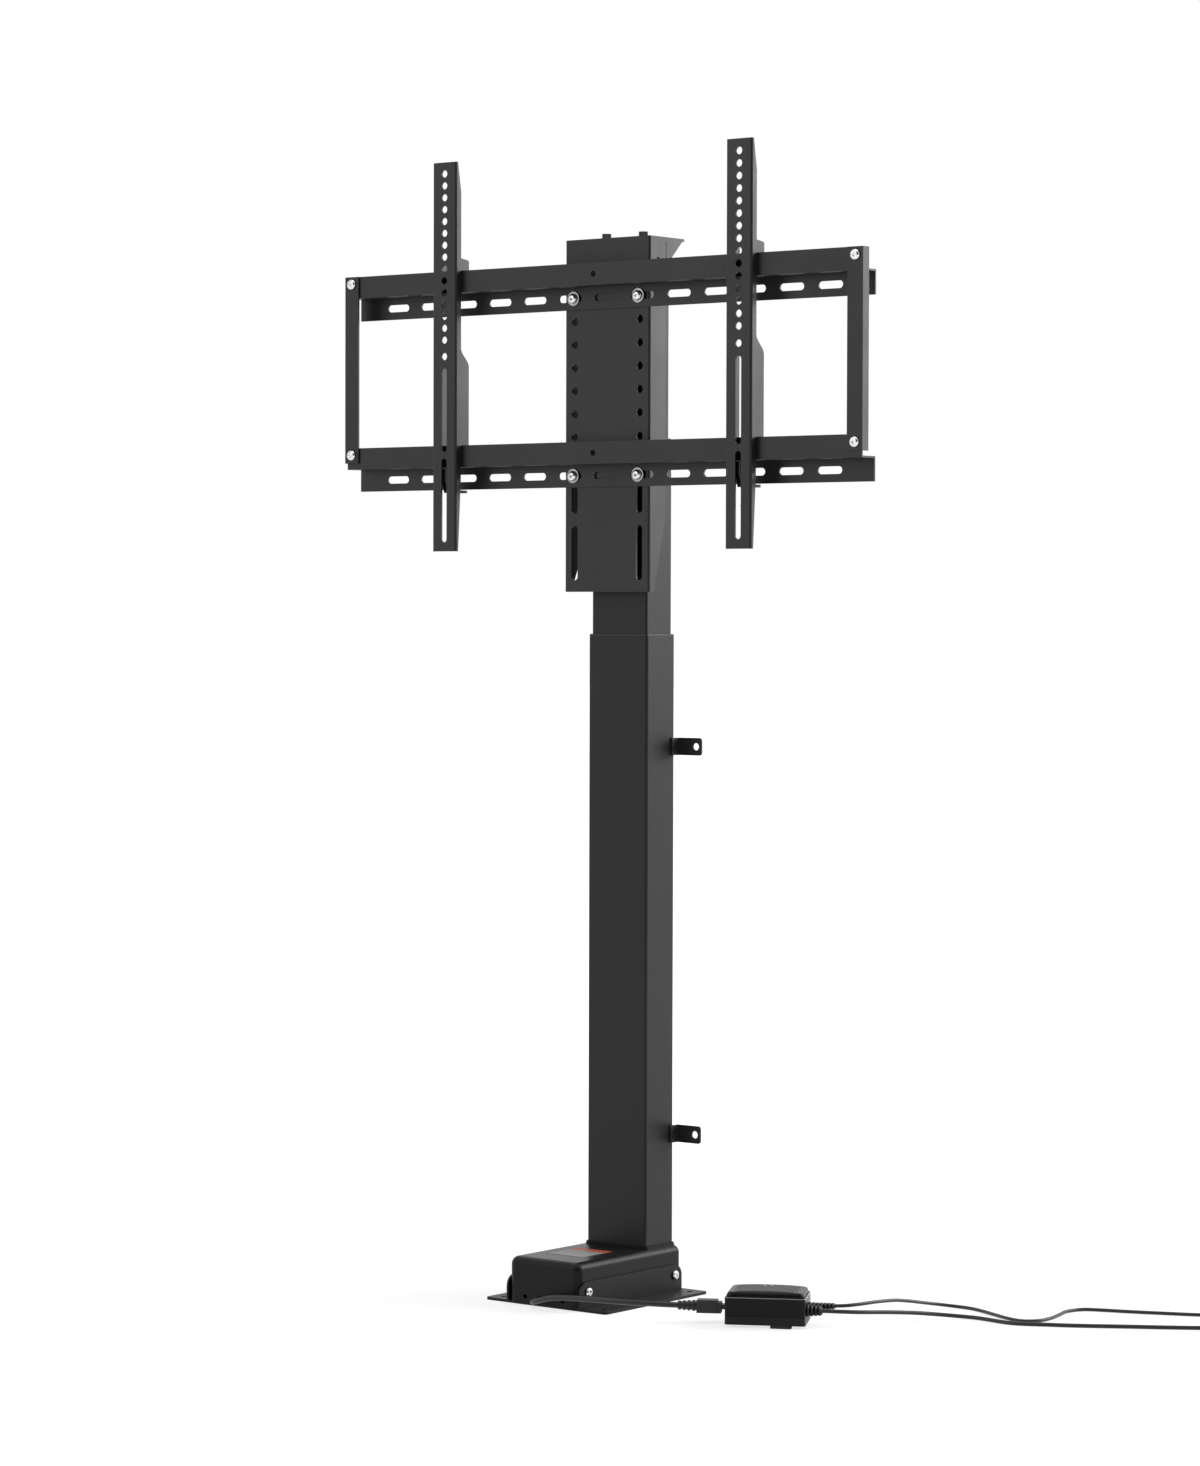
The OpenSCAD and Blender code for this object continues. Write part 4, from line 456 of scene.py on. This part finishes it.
def stronger(nt, a, b):
    node = nt.nodes.new("ShaderNodeMath")
    node.operation = "MAXIMUM"
    nt.links.new(a, node.inputs[0])
    nt.links.new(b, node.inputs[1])
    return node.outputs["Value"]


def link_seen_rays(nt, target):
    """Feed a mix factor with 1 for camera, glossy and transmission rays, so gloss shows the backdrop too."""
    path = nt.nodes.new("ShaderNodeLightPath")
    last = path.outputs["Is Camera Ray"]
    for kind in ("Is Glossy Ray", "Is Transmission Ray"):
        last = stronger(nt, last, path.outputs[kind])
    nt.links.new(last, target)
    return path


h = FLOOR_HALF
floor = add_object("floor", bpy.data.meshes.new("floor"))
floor.data.from_pydata([(-h, -h, 0), (h, -h, 0), (h, h, 0), (-h, h, 0)], [], [(0, 1, 2, 3)])
paper = bpy.data.materials.new("paper")
paper.use_nodes = True
nt = paper.node_tree
lit = nt.nodes["Principled BSDF"]
lit.inputs["Base Color"].default_value = (PAPER_TONE, PAPER_TONE, PAPER_TONE, 1)
lit.inputs["Roughness"].default_value = PAPER_ROUGH
# To the camera, and in gloss, the paper is the lit paper plus a glow, so it is white but keeps the object's
# shadow. The glow is weaker near the object, where the lamps make up for it.
where = nt.nodes.new("ShaderNodeTexCoord")
reach = nt.nodes.new("ShaderNodeVectorMath")
reach.operation = "LENGTH"
nt.links.new(where.outputs["Object"], reach.inputs[0])
near = map_range(nt, reach.outputs["Value"], GLOW_FROM, GLOW_TO, GLOW_NEAR, 1.0)
near.interpolation_type = "SMOOTHSTEP"
glow = nt.nodes.new("ShaderNodeEmission")
glow.inputs["Color"].default_value = WHITE
nt.links.new(near.outputs["Result"], glow.inputs["Strength"])
seen = nt.nodes.new("ShaderNodeAddShader")
nt.links.new(lit.outputs["BSDF"], seen.inputs[0])
nt.links.new(glow.outputs["Emission"], seen.inputs[1])
mix = nt.nodes.new("ShaderNodeMixShader")
link_seen_rays(nt, mix.inputs["Fac"])
nt.links.new(lit.outputs["BSDF"], mix.inputs[1])
nt.links.new(seen.outputs["Shader"], mix.inputs[2])
nt.links.new(mix.outputs["Shader"], nt.nodes["Material Output"].inputs["Surface"])
floor.data.materials.append(paper)


# World: white to the camera, and a soft studio to the object, dark on the side that its corners face

DARK_WAY, DARK_FROM, DARK_TO = (0.615, -0.788, 0), 0.35, 0.95
SOFT_LIGHT, GLOSS_LIGHT, DARK_LIGHT = 0.28, 1.0, 0.02

world = bpy.data.worlds.new("world")
scene.world = world
world.use_nodes = True
nt = world.node_tree
back = nt.nodes["Background"]
back.inputs["Color"].default_value = WHITE
ways = nt.nodes.new("ShaderNodeTexCoord")
facing = nt.nodes.new("ShaderNodeVectorMath")
facing.operation = "DOT_PRODUCT"
facing.inputs[1].default_value = DARK_WAY
nt.links.new(ways.outputs["Generated"], facing.inputs[0])


def shade_from(light):
    return map_range(nt, facing.outputs["Value"], DARK_FROM, DARK_TO, light, DARK_LIGHT).outputs["Result"]


nt.links.new(shade_from(SOFT_LIGHT), back.inputs["Strength"])
white = nt.nodes.new("ShaderNodeBackground")
white.inputs["Color"].default_value = WHITE
mix = nt.nodes.new("ShaderNodeMixShader")
path = link_seen_rays(nt, mix.inputs["Fac"])
bright = stronger(nt, path.outputs["Is Camera Ray"], shade_from(GLOSS_LIGHT))
nt.links.new(bright, white.inputs["Strength"])
nt.links.new(back.outputs["Background"], mix.inputs[1])
nt.links.new(white.outputs["Background"], mix.inputs[2])
nt.links.new(mix.outputs["Shader"], nt.nodes["World Output"].inputs["Surface"])


# Lights

def softbox(name, at, towards, width, tall, power):
    data = bpy.data.lights.new(name, "AREA")
    data.shape = "RECTANGLE"
    data.size = width
    data.size_y = tall
    data.energy = power
    obj = add_object(name, data)
    obj.location = at
    obj.rotation_mode = "QUATERNION"
    obj.rotation_quaternion = (Vector(towards) - Vector(at)).to_track_quat("-Z", "Y")


softbox("key", (2.3, 2.9, 2.2), (0, 0, 1.1), 2.4, 2.6, 105)
softbox("fill", (-1.4, -2.9, 1.75), (0, 0, 0.9), 1.5, 1.5, 7)
softbox("top", (0.3, -0.5, 3.6), (0, 0, 0.6), 2, 2, 20)
